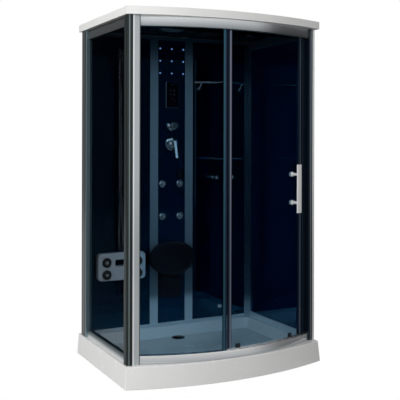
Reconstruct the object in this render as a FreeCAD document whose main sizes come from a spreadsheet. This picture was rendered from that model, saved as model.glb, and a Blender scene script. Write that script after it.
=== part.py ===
"""Steam shower cabin: bowed white tray, aluminium frame, tinted glass, sliding door, control column, roof.

Millimetres, +Z up, front towards -Y. The origin is on the floor, in the middle of the outline.
"""
import FreeCAD, Part
import ast
import math
import os
import re
import Sketcher

# ---------------------------------------------------------------- driving sizes, one cell each
SIZES = {
    # tray
    "tray_width": 1300, "side_depth": 850, "bow": 115, "tray_height": 130, "skirt_flare": 10,
    "skirt_gap": 4, "tray_shell": 6, "rim_width": 60, "back_rim_width": 68, "rim_shelf": 20,
    "basin_depth": 68, "basin_slope": 36, "basin_corner": 60, "drain_inset": 153,
    "drain_radius": 45, "drain_hole_radius": 34, "trap_radius": 58, "waste_pipe_radius": 20,
    "waste_notch_play": 16,
    # frame under the tray
    "beam_size": 25, "beam_inset": 105, "foot_radius": 24, "foot_height": 8, "foot_rod_radius": 5,
    "beam_front": 150, "beam_back": 230,
    # roof
    "overall_height": 2150, "drawn_height": 2150, "roof_lip": 45, "roof_overhang": 3, "roof_rim": 10, "roof_seat": 52,
    "roof_plate": 6, "ceiling_recess": 7,
    # aluminium frame
    "frame_inset": 10, "frame_radius": 1370, "rail_setback": 15, "rail_depth": 46,
    "rail_low": 46, "rail_high": 58, "groove_depth": 12, "glass_play": 0.3,
    "left_post_width": 76, "left_post_depth": 57, "post_round": 28, "post_wall": 3,
    "right_post_width": 40, "right_post_depth": 62, "right_post_setback": 30,
    "side_rail_width": 30, "side_rail_inset": 13, "back_post_flange": 40, "back_post_side": 86,
    "back_post_leg": 15, "corner_leg": 35,
    # walls and glass
    "wall_setback": 45, "side_setback": 40, "panel_thick": 5, "glass_thick": 6,
    "profile_proud": 6, "profile_depth": 24, "back_sill": 20, "back_header": 20, "side_sill": 40,
    "column_x": -4, "column_width": 205, "column_profile": 58,
    # curved front: angles in degrees from the middle of the bow, positive to the right
    "fixed_glass_back": 20, "fixed_end": -2.9, "seal_width": 0.95, "door_glass_back": 40,
    "door_left": -3.2, "door_end_gap": 3.0736, "edge_strip_left": -1.9, "edge_strip_width": 1.05,
    "closing_strip_width": 1.5, "door_foot_gap": 4, "door_head_rise": 13,
    "handle_inset": 2.66, "handle_length": 300, "handle_width": 35, "handle_thick": 10,
    "handle_height": 1100, "handle_spacing": 176, "handle_stand": 50, "standoff_radius": 9,
    "rosette_radius": 15, "wheel_radius": 12, "wheel_width": 7, "axle_radius": 3,
    "wheel_left": 1.2, "wheel_inset": 4.4, "guide_left": 1.5, "guide_inset": 3.0,
    "ledge_height": 8, "track_height": 40,
    # lamps and control panel
    "lamp_spacing_x": 87, "lamp_pitch": 84, "lamp_level": 2026, "lamp_radius": 7,
    "panel_width": 88, "panel_height": 179, "panel_level": 1710, "panel_depth": 11,
    # valves
    "diverter_level": 1497, "diverter_flange": 34, "knob_radius": 24, "knob_length": 38,
    "knob_gap": 20, "mixer_level": 1373, "mixer_flange": 46, "cap_radius": 24, "cap_length": 34,
    "lever_width": 17, "lever_drop": 108, "valve_radius": 24, "valve_depth": 34,
    # jets and hook
    "jet_offset": 65, "jet_high_level": 1100, "jet_low_level": 877, "jet_flange": 26, "jet_bore": 12.3,
    "jet_ball": 12, "jet_barrel": 15, "jet_depth": 30, "hook_offset": 60, "hook_level": 1166,
    "hook_radius": 27, "hook_reach": 34,
    # seat
    "seat_shift": 13, "seat_width": 334, "seat_length": 235, "seat_thick": 50, "seat_level": 598,
    "seat_hinge_level": 448, "seat_hinge_reach": 42, "seat_pin_radius": 6, "seat_play": 0.05,
    "bracket_width": 174, "bracket_low_level": 322, "bracket_top_level": 486, "bracket_thick": 8,
    "seat_lug_width": 24, "seat_lug_spacing": 110,
    # foot massager
    "massager_shift": 8, "massager_level": 564, "massager_side": 44, "massager_tall": 180,
    "massager_depth": 54, "massager_round": 28, "pad_radius": 32, "pad_hub": 11,
    "pad_side": 57.75, "pad_spacing_z": 80, "slot_width": 94, "slot_tall": 42, "slot_rise": 24,
    "pad_drop": 9,
    # hand shower
    "riser_x": -400, "riser_reach": 55, "riser_radius": 11, "riser_low_level": 1064, "riser_top_level": 1985,
    "slider_level": 1806, "slider_radius": 22, "slider_tall": 46,
    "socket_reach": 92, "socket_radius": 16, "socket_play": 0.3, "handset_tilt": 6, "handset_radius": 10,
    "handset_length": 190, "head_radius": 42, "head_thick": 20, "hose_radius": 7,
    "hose_start_level": 1034,
    # towel rail, shelf, steam outlet
    "towel_start": 18.5, "towel_side": 90, "towel_level": 1803, "towel_bow": 100,
    "towel_radius": 8, "towel_post_inset": 32, "towel_drop": 44, "towel_seat": 10,
    "shelf_left": 275, "shelf_width": 208, "shelf_level": 1150, "shelf_tall": 133,
    "shelf_depth": 104, "shelf_wall": 5, "shelf_middle": 74, "steam_x": 375, "steam_height": 225,
    "steam_radius": 18,
    # ceiling and roof fittings
    "rain_side": 250, "rain_y": -87, "rain_radius": 100, "rain_thick": 11, "rain_drop": 28,
    "light_x": -150, "light_y": 120, "light_radius": 75, "fan_x": 175, "fan_y": 192,
    "fan_size": 142, "fan_wheel_radius": 54, "fan_height": 30, "speaker_x": 75,
    "speaker_y": 398, "speaker_radius": 30, "boiler_x": -430, "boiler_y": 215,
    "boiler_length": 340, "boiler_width": 180, "boiler_height": 92, "box_x": -440, "box_y": -60,
    "box_length": 250, "box_width": 170, "box_height": 58,
    # pipes
    "pipe_radius": 7, "steam_pipe_radius": 7, "pipe_setback": 26, "seat_gap": 0.3,
}

# ---------------------------------------------------------------- places worked out from them
PLACES = {
    "rise": "overall_height / drawn_height",
    "half_width": "tray_width / 2",
    "back_y": "(side_depth + bow + skirt_flare) / 2",
    "corner_y": "(bow + skirt_flare - side_depth) / 2",
    "apex_y": "(skirt_flare - side_depth - bow) / 2",
    "wall_y": "back_y - wall_setback",
    "side_x": "half_width - side_setback",
    "frame_x": "half_width - frame_inset",
    "frame_y": "apex_y + rail_setback + frame_radius",
    "roof_low": "overall_height - roof_lip",
    "ceiling_z": "roof_low + ceiling_recess",
    "roof_deck": "ceiling_z + roof_plate",
    "left_post_x": "left_post_width - frame_x",
    "left_post_y": "corner_y + frame_inset",
    "left_post_end": "left_post_y + left_post_depth",
    "right_post_x": "frame_x - right_post_width",
    "right_post_y": "corner_y + right_post_setback",
    "right_post_end": "right_post_y + right_post_depth",
    "rail_top_z": "roof_low - rail_high",
    "rail_low_z": "tray_height + rail_low",
    "profile_y": "wall_y - profile_proud",
    "profile_back": "profile_y + profile_depth",
    "column_left": "column_x - column_width / 2",
    "column_right": "column_x + column_width / 2",
    "back_post_y": "profile_back - back_post_side",
    "side_rail_x": "side_rail_inset - half_width + frame_inset",
    "side_glass_x": "side_rail_x + (side_rail_width - glass_thick) / 2",
    "drain_y": "back_y - drain_inset",
    "basin_floor": "tray_height - basin_depth",
    "basin_under": "basin_floor - tray_shell",
    "panel_low": "tray_height + back_sill",
    "panel_top": "roof_low - back_header",
    "door_right": "asin(right_post_x / frame_radius) / degree - door_end_gap",
    "handle_turn": "door_right - handle_inset",
    "wheel_right": "door_right - wheel_inset",
    "guide_right": "door_right - guide_inset",
    "glass_low": "rail_low_z - groove_depth",
    "glass_top": "rail_top_z + groove_depth",
    "wheel_z": "rail_top_z + ledge_height + wheel_radius + 0.1",
    "door_mid": "frame_radius - door_glass_back + glass_thick / 2",
    "shelf_right": "shelf_left + shelf_width",
    "riser_y": "wall_y - riser_reach",
    "panel_left_end": "back_post_flange + back_post_leg - frame_x",
    "panel_right_end": "column_left - column_profile",
    "massager_x": "(panel_left_end + panel_right_end) / 2 - massager_shift",
    "massager_width": "panel_right_end - panel_left_end - 2 * massager_side",
    "pad_spacing_x": "massager_width - 2 * pad_side",
    "socket_y": "wall_y - socket_reach",
    "seat_hinge_y": "wall_y - seat_hinge_reach",
    "seat_x": "column_x - seat_shift",
    "lamp_top": "lamp_level * rise",
    "panel_centre": "panel_level * rise",
    "diverter_height": "diverter_level * rise",
    "mixer_height": "mixer_level * rise",
    "jet_high": "jet_high_level * rise",
    "jet_low": "jet_low_level * rise",
    "hook_height": "hook_level * rise",
    "riser_low": "riser_low_level * rise",
    "riser_top": "riser_top_level * rise",
    "slider_height": "slider_level * rise",
    "towel_height": "towel_level * rise",
    "towel_left": "column_right + column_profile + towel_start",
    "towel_right": "half_width - towel_side",
    "rain_x": "half_width - rain_side",
    "shelf_low": "shelf_level * rise",
    "lamp_spacing_z": "lamp_pitch * rise",
    "seat_centre": "seat_level * rise",
    "seat_hinge_height": "seat_hinge_level * rise",
    "bracket_low": "bracket_low_level * rise",
    "bracket_top": "bracket_top_level * rise",
    "massager_height": "massager_level * rise",
    "hose_start_height": "hose_start_level * rise",
}

doc = FreeCAD.newDocument("SteamShower")
sheet = doc.addObject("Spreadsheet::Sheet", "Sizes")
for row, (alias, value) in enumerate(SIZES.items(), start=1):
    sheet.set("A%d" % row, alias)
    sheet.set("B%d" % row, str(value))
    sheet.setAlias("B%d" % row, alias)
doc.recompute()

V = FreeCAD.Vector
NODES = {}


def cells(text):
    """Write a formula with the sheet's cells in place of the words for sizes and places."""
    def swap(found):
        word = found.group(0)
        if word in PLACES:
            return "(" + cells(PLACES[word]) + ")"
        if word == "degree":
            return "(1 deg)"
        return "Sizes." + word if word in SIZES else word
    return re.sub(r"[a-z][a-z_]*", swap, text)


def work_out(node):
    """Value of one branch of a formula; angles are in degrees, as in the sheet."""
    if isinstance(node, ast.Constant):
        return float(node.value)
    if isinstance(node, ast.Name):
        if node.id == "degree":
            return 1.0
        return float(SIZES[node.id]) if node.id in SIZES else number(PLACES[node.id])
    if isinstance(node, ast.UnaryOp):
        return -work_out(node.operand)
    if isinstance(node, ast.Call):
        value = work_out(node.args[0])
        if node.func.id == "asin":
            return math.degrees(math.asin(value))
        return getattr(math, node.func.id)(math.radians(value))
    left, right = work_out(node.left), work_out(node.right)
    if isinstance(node.op, ast.Add):
        return left + right
    if isinstance(node.op, ast.Sub):
        return left - right
    return left * right if isinstance(node.op, ast.Mult) else left / right


def number(text):
    """Value of a formula in words, such as 'wall_y - panel_depth'."""
    return work_out(ast.parse(text).body[0].value)


def bind(thing, **formulas):
    """Bind properties to formulas of the sheet; two underscores stand for a dot."""
    for prop, text in formulas.items():
        thing.setExpression(prop.replace("__", "."), cells(text))


def node(label, thing):
    """Name a finished sub-part: its label is its file's name."""
    thing.Label = label
    NODES[label] = thing
    return thing


def seat(thing, x, y, z, turn=None):
    """Put a part at bound coordinates, after an optional fixed rotation."""
    if turn is not None:
        thing.Placement = FreeCAD.Placement(V(0, 0, 0), turn)
    bind(thing, Placement__Base__x=x, Placement__Base__y=y, Placement__Base__z=z)
    return thing


def box(x, y, z, long, wide, tall):
    """Bound block from its low corner."""
    made = doc.addObject("Part::Box", "Block")
    bind(made, Length=long, Width=wide, Height=tall)
    return seat(made, x, y, z)


ALONG_X = FreeCAD.Rotation(V(0, 1, 0), 90)
FORWARD = FreeCAD.Rotation(V(1, 0, 0), 90)
UPRIGHT = FreeCAD.Rotation()
DOWN = FreeCAD.Rotation(V(1, 0, 0), 180)


def rod(x, y, z, radius, length, turn=UPRIGHT):
    """Bound round bar from its base point, along the turned Z axis."""
    made = doc.addObject("Part::Cylinder", "Rod")
    bind(made, Radius=radius, Height=length)
    return seat(made, x, y, z, turn)


def cut(base, *tools):
    """Take tools out of a base part."""
    for tool in tools:
        made = doc.addObject("Part::Cut", "Cut")
        made.Base, made.Tool = base, tool
        base = made
    return base


def fuse(*parts):
    """Join parts into one piece."""
    made = doc.addObject("Part::MultiFuse", "Fuse")
    made.Shapes = list(parts)
    return made


def group(*parts):
    """Keep parts as separate solids of one sub-part."""
    made = doc.addObject("Part::Compound", "Group")
    made.Links = list(parts)
    return made


def sketch(body, plane, loops):
    """Sketch of closed straight loops whose corners are bound to formulas."""
    made = body.newObject("Sketcher::SketchObject", "Profile")
    origin = [item for item in body.Origin.OriginFeatures if item.Role == plane][0]
    made.AttachmentSupport = [(origin, "")]
    made.MapMode = "FlatFace"
    first = 0
    for corners in loops:
        spots = [V(number(px), number(py), 0) for px, py in corners]
        count = len(corners)
        for i in range(count):
            made.addGeometry(Part.LineSegment(spots[i], spots[(i + 1) % count]), False)
        for i in range(count):
            following = first + (i + 1) % count
            made.addConstraint(Sketcher.Constraint("Coincident", first + i, 2, following, 1))
        for i, (px, py) in enumerate(corners):
            for kind, text, place in (("DistanceX", px, spots[i].x), ("DistanceY", py, spots[i].y)):
                rule = Sketcher.Constraint(kind, -1, 1, first + i, 1, place)
                index = made.addConstraint(rule)
                made.setExpression("Constraints[%d]" % index, cells(text))
        first += count
    return made


def extrusion(loops, z, height, plane="XY_Plane"):
    """Body padded upwards from a bound plan outline."""
    body = doc.addObject("PartDesign::Body", "Extrusion")
    profile = sketch(body, plane, loops)
    pad = body.newObject("PartDesign::Pad", "Length")
    pad.Profile = profile
    bind(pad, Length=height)
    return seat(body, "0", "0", z)


def turned(profile, x, y, z, turn=UPRIGHT):
    """Body of revolution: corners are (radius, height along the axis)."""
    body = doc.addObject("PartDesign::Body", "Turning")
    drawn = sketch(body, "XZ_Plane", [profile])
    spun = body.newObject("PartDesign::Revolution", "Spin")
    spun.Profile = drawn
    spun.ReferenceAxis = (drawn, ["V_Axis"])
    spun.Angle = 360
    return seat(body, x, y, z, turn)


def rounded(body, edges, radius):
    """Round chosen edges of a body: edges is a test of an edge."""
    doc.recompute()
    last = body.Tip
    names = ["Edge%d" % (i + 1) for i, edge in enumerate(last.Shape.Edges) if edges(edge)]
    fillet = body.newObject("PartDesign::Fillet", "Round")
    fillet.Base = (last, names)
    bind(fillet, Radius=radius)
    body.Tip = fillet
    return body


def ring(inner, outer, start, end, z, height):
    """Bound stretch of a ring about the middle of the bow; angles as for the door."""
    sector = doc.addObject("Part::Cylinder", "Sector")
    bind(sector, Radius=outer, Height=height, Angle="(%s) - (%s)" % (end, start))
    sector.Placement = FreeCAD.Placement(V(0, 0, 0), FreeCAD.Rotation(V(0, 0, 1), number(start) - 90))
    bind(sector, Placement__Rotation__Angle="(%s) - 90" % start)
    seat(sector, "0", "frame_y", z)
    core = rod("0", "frame_y", "(%s) - 1" % z, inner, "(%s) + 2" % height)
    return cut(sector, core)


def bow_place(radius, angle):
    """Formulas of a point of the bow at a radius and an angle."""
    return ("(%s) * sin(%s)" % (radius, angle), "frame_y - (%s) * cos(%s)" % (radius, angle))


def between_posts(part):
    """End a curved piece flat against the two front posts."""
    left = box("left_post_x - 300", "apex_y - 100", "-10", "300", "900", "overall_height + 100")
    right = box("right_post_x", "apex_y - 100", "-10", "300", "900", "overall_height + 100")
    return cut(part, left, right)


def feature(label, shape):
    """Sub-part whose solid is worked out in code from the same sizes."""
    made = doc.addObject("Part::Feature", "Formed")
    made.Shape = shape
    made.Placement = FreeCAD.Placement()
    return node(label, made)


# ---------------------------------------------------------------- plan outlines for tray and roof
def bowed_outline(half, back, corner, bow, z):
    """Rectangle with a front side that bows out by a given height."""
    a, b, c, d = V(-half, back, z), V(-half, corner, z), V(half, corner, z), V(half, back, z)
    arc = Part.Arc(b, V(0, corner - bow, z), c).toShape()
    return Part.Wire([Part.LineSegment(a, b).toShape(), arc,
                      Part.LineSegment(c, d).toShape(), Part.LineSegment(d, a).toShape()])


def softened(wire, radius, grow=0.0):
    """Round an outline's corners, then move it out or in by grow."""
    inner = wire.makeOffset2D(-radius)
    return inner.makeOffset2D(radius + grow)


def lofted(low, high):
    """Ruled solid between two outlines."""
    return Part.makeLoft([low, high], True, True)


def basin_outline(inset, z, grow):
    """Outline of the basin at a height; its front runs along the door's rail."""
    half = number("half_width - rim_width")
    back = number("back_y - back_rim_width")
    radius = number("frame_radius - rail_depth - rim_shelf")
    corner = number("frame_y") - math.sqrt(radius ** 2 - half ** 2)
    bow = corner - (number("frame_y") - radius)
    wire = bowed_outline(half, back, corner, bow, z)
    return softened(wire, number("basin_corner"), grow - inset)


def make_tray():
    """White shell: flared skirt, flat rim, sloping basin walls, floor with the drain hole."""
    half, back, corner = number("half_width"), number("back_y"), number("corner_y")
    bow, flare = number("bow"), number("skirt_flare")
    top, gap, wall = number("tray_height"), number("skirt_gap"), number("tray_shell")
    foot = bowed_outline(half + flare, back, corner - flare, bow, gap)
    rim = bowed_outline(half, back, corner, bow, top)
    outside = lofted(foot, rim)
    lean = flare * wall / (top - gap)
    hollow_low = bowed_outline(half + flare + lean - wall, back - wall, corner - flare - lean + wall, bow,
                               gap - wall)
    hollow_high = bowed_outline(half + lean - wall, back - wall, corner + wall - lean, bow, top - wall)
    shell = outside.cut(lofted(hollow_low, hollow_high))
    slope, floor = number("basin_slope"), number("basin_floor")
    bowl = lofted(basin_outline(slope, floor, 0), basin_outline(0, top, 0))
    bowl_out = lofted(basin_outline(slope, floor - wall, wall), basin_outline(0, top - wall / 2, wall))
    hole = Part.makeCylinder(number("drain_hole_radius"), top, V(0, number("drain_y"), 0))
    reach = number("waste_pipe_radius") + number("waste_notch_play")
    tall = number("foot_height") + 2 * number("waste_pipe_radius") + number("waste_notch_play")
    notch = Part.makeBox(2 * reach, 40, tall, V(-reach, back - 20, 0))
    return shell.fuse(bowl_out).cut(bowl).cut(hole).cut(notch).removeSplitter()


def make_roof():
    """White cover: deep lip, sunk deck on top, flat ceiling inside."""
    over = number("roof_overhang")
    half, back = number("half_width") + over, number("back_y")
    corner, bow = number("corner_y") - over, number("bow")
    low, high = number("roof_low"), number("overall_height")
    outline = bowed_outline(half, back, corner, bow, low)
    slab = Part.Face(outline).extrude(V(0, 0, high - low))
    deck = softened(outline, number("post_round"), -number("roof_rim"))
    deck.translate(V(0, 0, number("roof_deck") - low))
    ceiling = softened(outline, number("post_round"), -number("roof_seat"))
    slab = slab.cut(Part.Face(deck).extrude(V(0, 0, high)))
    slab = slab.cut(Part.Face(ceiling).extrude(V(0, 0, number("ceiling_recess"))))
    hole = number("fan_size") / 2 - 6
    window = Part.makeBox(2 * hole, 2 * hole, 100,
                          V(number("fan_x") - hole, number("fan_y") - hole, low))
    pipe = Part.makeCylinder(number("pipe_radius") + 0.5, 100, V(number("rain_x"), number("rain_y"), low))
    steam = Part.makeCylinder(number("steam_pipe_radius") + 0.5, 200,
                              V(number("steam_x"), number("wall_y + pipe_setback"), low - 20))
    feed = Part.makeCylinder(number("pipe_radius") + 0.5, 200,
                             V(number("column_x"), number("wall_y + pipe_setback"), low - 20))
    return slab.cut(window).cut(pipe).cut(steam).cut(feed).removeSplitter()


feature("tray", make_tray())
feature("roof", make_roof())

# ---------------------------------------------------------------- drain and feet under the tray
SKIRT = "skirt_gap"
node("drain_cover", turned(
    [("0", "1"), ("drain_hole_radius - 4", "1"), ("drain_hole_radius - 4", "3"), ("drain_radius", "3"),
     ("drain_radius", "5"), ("drain_radius * 0.7", "10"), ("0", "12")], "0", "drain_y", "basin_floor"))
node("waste_trap", fuse(
    turned([("0", "foot_height"), ("trap_radius", "foot_height"), ("trap_radius", "basin_under - 6"),
            ("drain_hole_radius - 1", "basin_under - 6"), ("drain_hole_radius - 1", "basin_floor + 0.5"),
            ("drain_radius - 2", "basin_floor + 0.5"), ("drain_radius - 2", "basin_floor + 2.5"),
            ("drain_hole_radius - 3.5", "basin_floor + 2.5"), ("drain_hole_radius - 3.5", "foot_height + 6"),
            ("0", "foot_height + 6")], "0", "drain_y", "0"),
    turned([("drain_hole_radius - 1.5", "basin_under - 8"), ("trap_radius", "basin_under - 8"),
            ("trap_radius", "basin_under"), ("drain_hole_radius - 1.5", "basin_under")], "0", "drain_y", "0"),
    rod("0", "drain_y + trap_radius - 4", "foot_height + waste_pipe_radius + 1", "waste_pipe_radius - 2",
        "9", FreeCAD.Rotation(V(1, 0, 0), -90)),
    rod("0", "drain_y + trap_radius + 4", "foot_height + waste_pipe_radius + 1", "waste_pipe_radius",
        "back_y - drain_y - trap_radius - 7", FreeCAD.Rotation(V(1, 0, 0), -90))))

beam_z = "basin_under - beam_size"
beams = []
for y in ("-beam_front", "beam_back"):
    beams.append(box("beam_inset - half_width", y, beam_z, "tray_width - 2 * beam_inset", "beam_size",
                     "beam_size"))
for x in ("beam_inset - half_width", "trap_radius + 30", "half_width - beam_inset - beam_size"):
    beams.append(box(x, "beam_size - beam_front", beam_z, "beam_size",
                     "beam_back + beam_front - beam_size", "beam_size"))
for x in ("beam_inset - half_width + beam_size * 1.5", "0", "half_width - beam_inset - beam_size * 1.5"):
    for y in ("beam_size / 2 - beam_front", "beam_back + beam_size / 2"):
        beams.append(fuse(rod(x, y, "0", "foot_radius", "foot_height"),
                          rod(x, y, "foot_height", "foot_rod_radius", beam_z + " - foot_height"),
                          rod(x, y, beam_z + " - 6", "foot_rod_radius * 1.9", "6")))
node("tray_frame", group(*beams))

# ---------------------------------------------------------------- posts
post_tall = "roof_low - tray_height"
left_post = extrusion([[("-frame_x", "left_post_y"), ("left_post_x", "left_post_y"),
                        ("left_post_x", "left_post_end"), ("-frame_x", "left_post_end")],
                       [("post_wall - frame_x + 20", "left_post_y + post_wall + 20"),
                        ("left_post_x - post_wall", "left_post_y + post_wall + 20"),
                        ("left_post_x - post_wall", "left_post_end - post_wall"),
                        ("post_wall - frame_x + 20", "left_post_end - post_wall")]],
                      "tray_height", post_tall)


def outer_corner(edge):
    """True for the upright edge at the outer front corner."""
    middle = edge.CenterOfMass
    return abs(middle.x + number("frame_x")) < 0.1 and abs(middle.y - number("left_post_y")) < 0.1


node("post_front_left", rounded(left_post, outer_corner, "post_round"))
node("post_back_left", extrusion(
    [[("-frame_x", "back_post_y"), ("back_post_flange - frame_x", "back_post_y"),
      ("back_post_flange - frame_x", "profile_y"), ("back_post_flange + back_post_leg - frame_x", "profile_y"),
      ("back_post_flange + back_post_leg - frame_x", "profile_back"), ("-frame_x", "profile_back")]],
    "tray_height", post_tall))
node("post_back_right", extrusion(
    [[("side_x - corner_leg", "profile_y"), ("side_x - profile_proud", "profile_y"),
      ("side_x - profile_proud", "wall_y - corner_leg"), ("frame_x", "wall_y - corner_leg"),
      ("frame_x", "profile_back"), ("side_x - corner_leg", "profile_back")]],
    "tray_height", post_tall))

# the right front post carries the jamb that the door closes against
right_post = extrusion([[("right_post_x", "right_post_y"), ("frame_x", "right_post_y"),
                         ("frame_x", "right_post_end"), ("right_post_x", "right_post_end")]],
                       "tray_height", post_tall)
jamb = ring("frame_radius - door_glass_back - 3", "frame_radius - fixed_glass_back - 2",
            "door_right + closing_strip_width + 0.15", "door_right + 6", "rail_low_z + seat_gap",
            "rail_top_z - rail_low_z - 2 * seat_gap")
node("post_front_right", group(right_post, between_posts(jamb)))

# ---------------------------------------------------------------- curved front rails
fixed_in, fixed_out = "frame_radius - fixed_glass_back", "frame_radius - fixed_glass_back + glass_thick"
door_in, door_out = "frame_radius - door_glass_back", "frame_radius - door_glass_back + glass_thick"
WHOLE = ("-31", "31")
rail = ring("frame_radius - rail_depth", "frame_radius", *WHOLE, "tray_height", "rail_low")
groove = ring(fixed_in + " - glass_play", fixed_out + " + glass_play", *WHOLE, "glass_low - glass_play",
              "groove_depth + 5")
track = ring(door_in + " - 2", door_out + " + 2", *WHOLE, "glass_low + 2", "groove_depth + 5")
node("rail_bottom_front", between_posts(cut(rail, groove, track)))

rail = ring("frame_radius - rail_depth", "frame_radius", *WHOLE, "rail_top_z", "rail_high")
groove = ring(fixed_in + " - glass_play", fixed_out + " + glass_play", *WHOLE, "rail_top_z - 5",
              "groove_depth + 5 + glass_play")
track = ring(door_in + " - 3", fixed_in + " - 4", *WHOLE, "rail_top_z + ledge_height", "track_height")
mouth = ring(door_in + " - 3", door_out + " + 1", *WHOLE, "rail_top_z - 5", "ledge_height + 6")
node("rail_top_front", between_posts(cut(rail, groove, track, mouth)))

# ---------------------------------------------------------------- left side: rails and glass
side_long = "back_post_y - left_post_end"
left_rails = []
for z, tall, cut_z in (("tray_height", "rail_low", "glass_low - glass_play"),
                       ("rail_top_z", "rail_high", "rail_top_z - 5")):
    bar = box("side_rail_x", "left_post_end", z, "side_rail_width", side_long, tall)
    slot = box("side_glass_x - glass_play", "left_post_end - 1", cut_z, "glass_thick + 2 * glass_play",
               side_long + " + 2", "groove_depth + 5 + glass_play")
    left_rails.append(cut(bar, slot))
node("rails_left", group(*left_rails))
node("glass_left", box("side_glass_x", "left_post_end + seat_gap", "glass_low", "glass_thick",
                       side_long + " - 2 * seat_gap", "glass_top - glass_low"))

# ---------------------------------------------------------------- curved fixed glass and its seal
pane = ring(fixed_in, fixed_out, "-31", "fixed_end", "glass_low", "glass_top - glass_low")
clear = box("left_post_x - 300", "apex_y - 100", "-10", "300 + seat_gap", "900", "overall_height + 100")
node("glass_front", cut(pane, clear))
node("glass_seal", fuse(
    ring(fixed_in + " - 1.5", fixed_out + " + 1.5", "fixed_end + 0.01", "fixed_end + seal_width * 0.5",
         "rail_low_z + seat_gap", "rail_top_z - rail_low_z - 2 * seat_gap"),
    ring(fixed_out + " + seat_gap", fixed_out + " + 1.5", "fixed_end - seal_width * 0.5", "fixed_end + 0.02",
         "rail_low_z + seat_gap", "rail_top_z - rail_low_z - 2 * seat_gap"),
    ring(fixed_in + " - 1.5", fixed_in + " - seat_gap", "fixed_end - seal_width * 0.5", "fixed_end + 0.02",
         "rail_low_z + seat_gap", "rail_top_z - rail_low_z - 2 * seat_gap")))

# ---------------------------------------------------------------- sliding door
door_low, door_tall = "rail_low_z + door_foot_gap", "rail_top_z + door_head_rise - rail_low_z - door_foot_gap"
node("door_glass", ring(door_in, door_out, "door_left", "door_right", door_low, door_tall))
strip_low, strip_tall = "rail_low_z + door_foot_gap", "rail_top_z - rail_low_z - door_foot_gap - 2"
node("door_strips", group(
    ring(door_out + " + 0.05", fixed_in + " - 4", "edge_strip_left", "edge_strip_left + edge_strip_width",
         strip_low, strip_tall),
    ring(door_in + " - 2", door_out + " + 6", "door_right + 0.01", "door_right + closing_strip_width",
         strip_low, strip_tall)))

# handle: flat bar on two stand-offs that pass through the glass to inner caps
handle_parts = []
radial = FreeCAD.Rotation(V(0, 0, 1), number("handle_turn")).multiply(FORWARD)
for sign in ("-", ""):
    level = "handle_height + %shandle_spacing / 2" % sign
    hx, hy = bow_place(door_out + " + 0.2", "handle_turn")
    handle_parts.append(rod(hx, hy, level, "standoff_radius", "handle_stand + 1", radial))
    handle_parts.append(rod(hx, hy, level, "rosette_radius", "4", radial))
    handle_parts.append(rod(*bow_place(door_in + " - 6", "handle_turn"), level, "rosette_radius", "5.7", radial))
plate = box("0", "0", "0", "handle_width", "handle_thick", "handle_length")
plate.Placement = FreeCAD.Placement(V(0, 0, 0), FreeCAD.Rotation(V(0, 0, 1), number("handle_turn")))
px = "(%s) * sin(handle_turn) - handle_width / 2 * cos(handle_turn)" % (door_out + " + handle_stand + handle_thick")
py = "frame_y - (%s) * cos(handle_turn) - handle_width / 2 * sin(handle_turn)" % (
    door_out + " + handle_stand + handle_thick")
seat(plate, px, py, "handle_height - handle_length / 2")
bind(plate, Placement__Rotation__Angle="handle_turn")
node("door_handle", group(fuse(plate, *[p for i, p in enumerate(handle_parts) if i % 3 != 2]),
                          handle_parts[2], handle_parts[5]))


def upright_plate(inner, outer, middle, half, z, tall):
    """Short curved block at an angle of the bow."""
    return ring(inner, outer, "%s - %s" % (middle, half), "%s + %s" % (middle, half), z, tall)


carriers = []
for middle in ("wheel_left", "wheel_right"):
    arm = upright_plate(door_in + " - 2", door_in + " - 0.05", middle, "0.7", "rail_top_z + ledge_height + 1",
                        "track_height - 4")
    saddle = upright_plate(door_in + " - 1", door_out + " + 1", middle, "0.7",
                           "rail_top_z + door_head_rise + 0.05", "6")
    turn = FreeCAD.Rotation(V(0, 0, 1), number(middle)).multiply(FORWARD)
    axle = rod(*bow_place(door_in + " - 1.5", middle), "wheel_z", "axle_radius", "16", turn)
    carriers.append(fuse(arm, saddle, axle))
for middle in ("guide_left", "guide_right"):
    block = upright_plate(door_in + " - 9", door_in + " - 0.05", middle, "0.6", "rail_low_z + 1", "20")
    fin = upright_plate(door_in + " - 1", door_out + " - 2", middle, "0.6", "rail_low_z - 6", "9.5")
    carriers.append(fuse(block, fin, upright_plate(door_in + " - 9", door_in, middle, "0.6",
                                                   "rail_low_z + 0.5", "3")))
node("roller_carriers", group(*carriers))
for label, middle in (("wheel_left", "wheel_left"), ("wheel_right", "wheel_right")):
    turn = FreeCAD.Rotation(V(0, 0, 1), number(middle)).multiply(FORWARD)
    spot = bow_place(door_out + " + 2", middle)
    node(label, turned([("axle_radius + 0.05", "0"), ("wheel_radius", "0"), ("wheel_radius", "wheel_width"),
                        ("axle_radius + 0.05", "wheel_width")], spot[0], spot[1], "wheel_z", turn))

# ---------------------------------------------------------------- back wall and right wall
wall_rails = [
    box("back_post_flange + back_post_leg - frame_x", "profile_y", "tray_height",
        "side_x - corner_leg + frame_x - back_post_flange - back_post_leg", "profile_depth", "back_sill"),
    box("back_post_flange + back_post_leg - frame_x", "profile_y", "panel_top",
        "side_x - corner_leg + frame_x - back_post_flange - back_post_leg", "profile_depth", "back_header"),
    box("right_post_x", "right_post_end", "tray_height", "right_post_width - 4",
        "wall_y - corner_leg - right_post_end", "side_sill"),
    box("right_post_x", "right_post_end", "rail_top_z", "right_post_width - 4",
        "wall_y - corner_leg - right_post_end", "rail_high")]
profile_tall = "panel_top - panel_low"
node("wall_profiles", group(
    *wall_rails,
    box("column_left - column_profile", "profile_y", "panel_low", "column_profile", "profile_depth",
        profile_tall),
    box("column_right", "profile_y", "panel_low", "column_profile", "profile_depth", profile_tall)))
left_x = "back_post_flange + back_post_leg - frame_x"
node("back_panel_left", box(left_x, "wall_y", "panel_low",
                            "column_left - column_profile - (%s)" % left_x, "panel_thick", profile_tall))
right_x = "column_right + column_profile"
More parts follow.
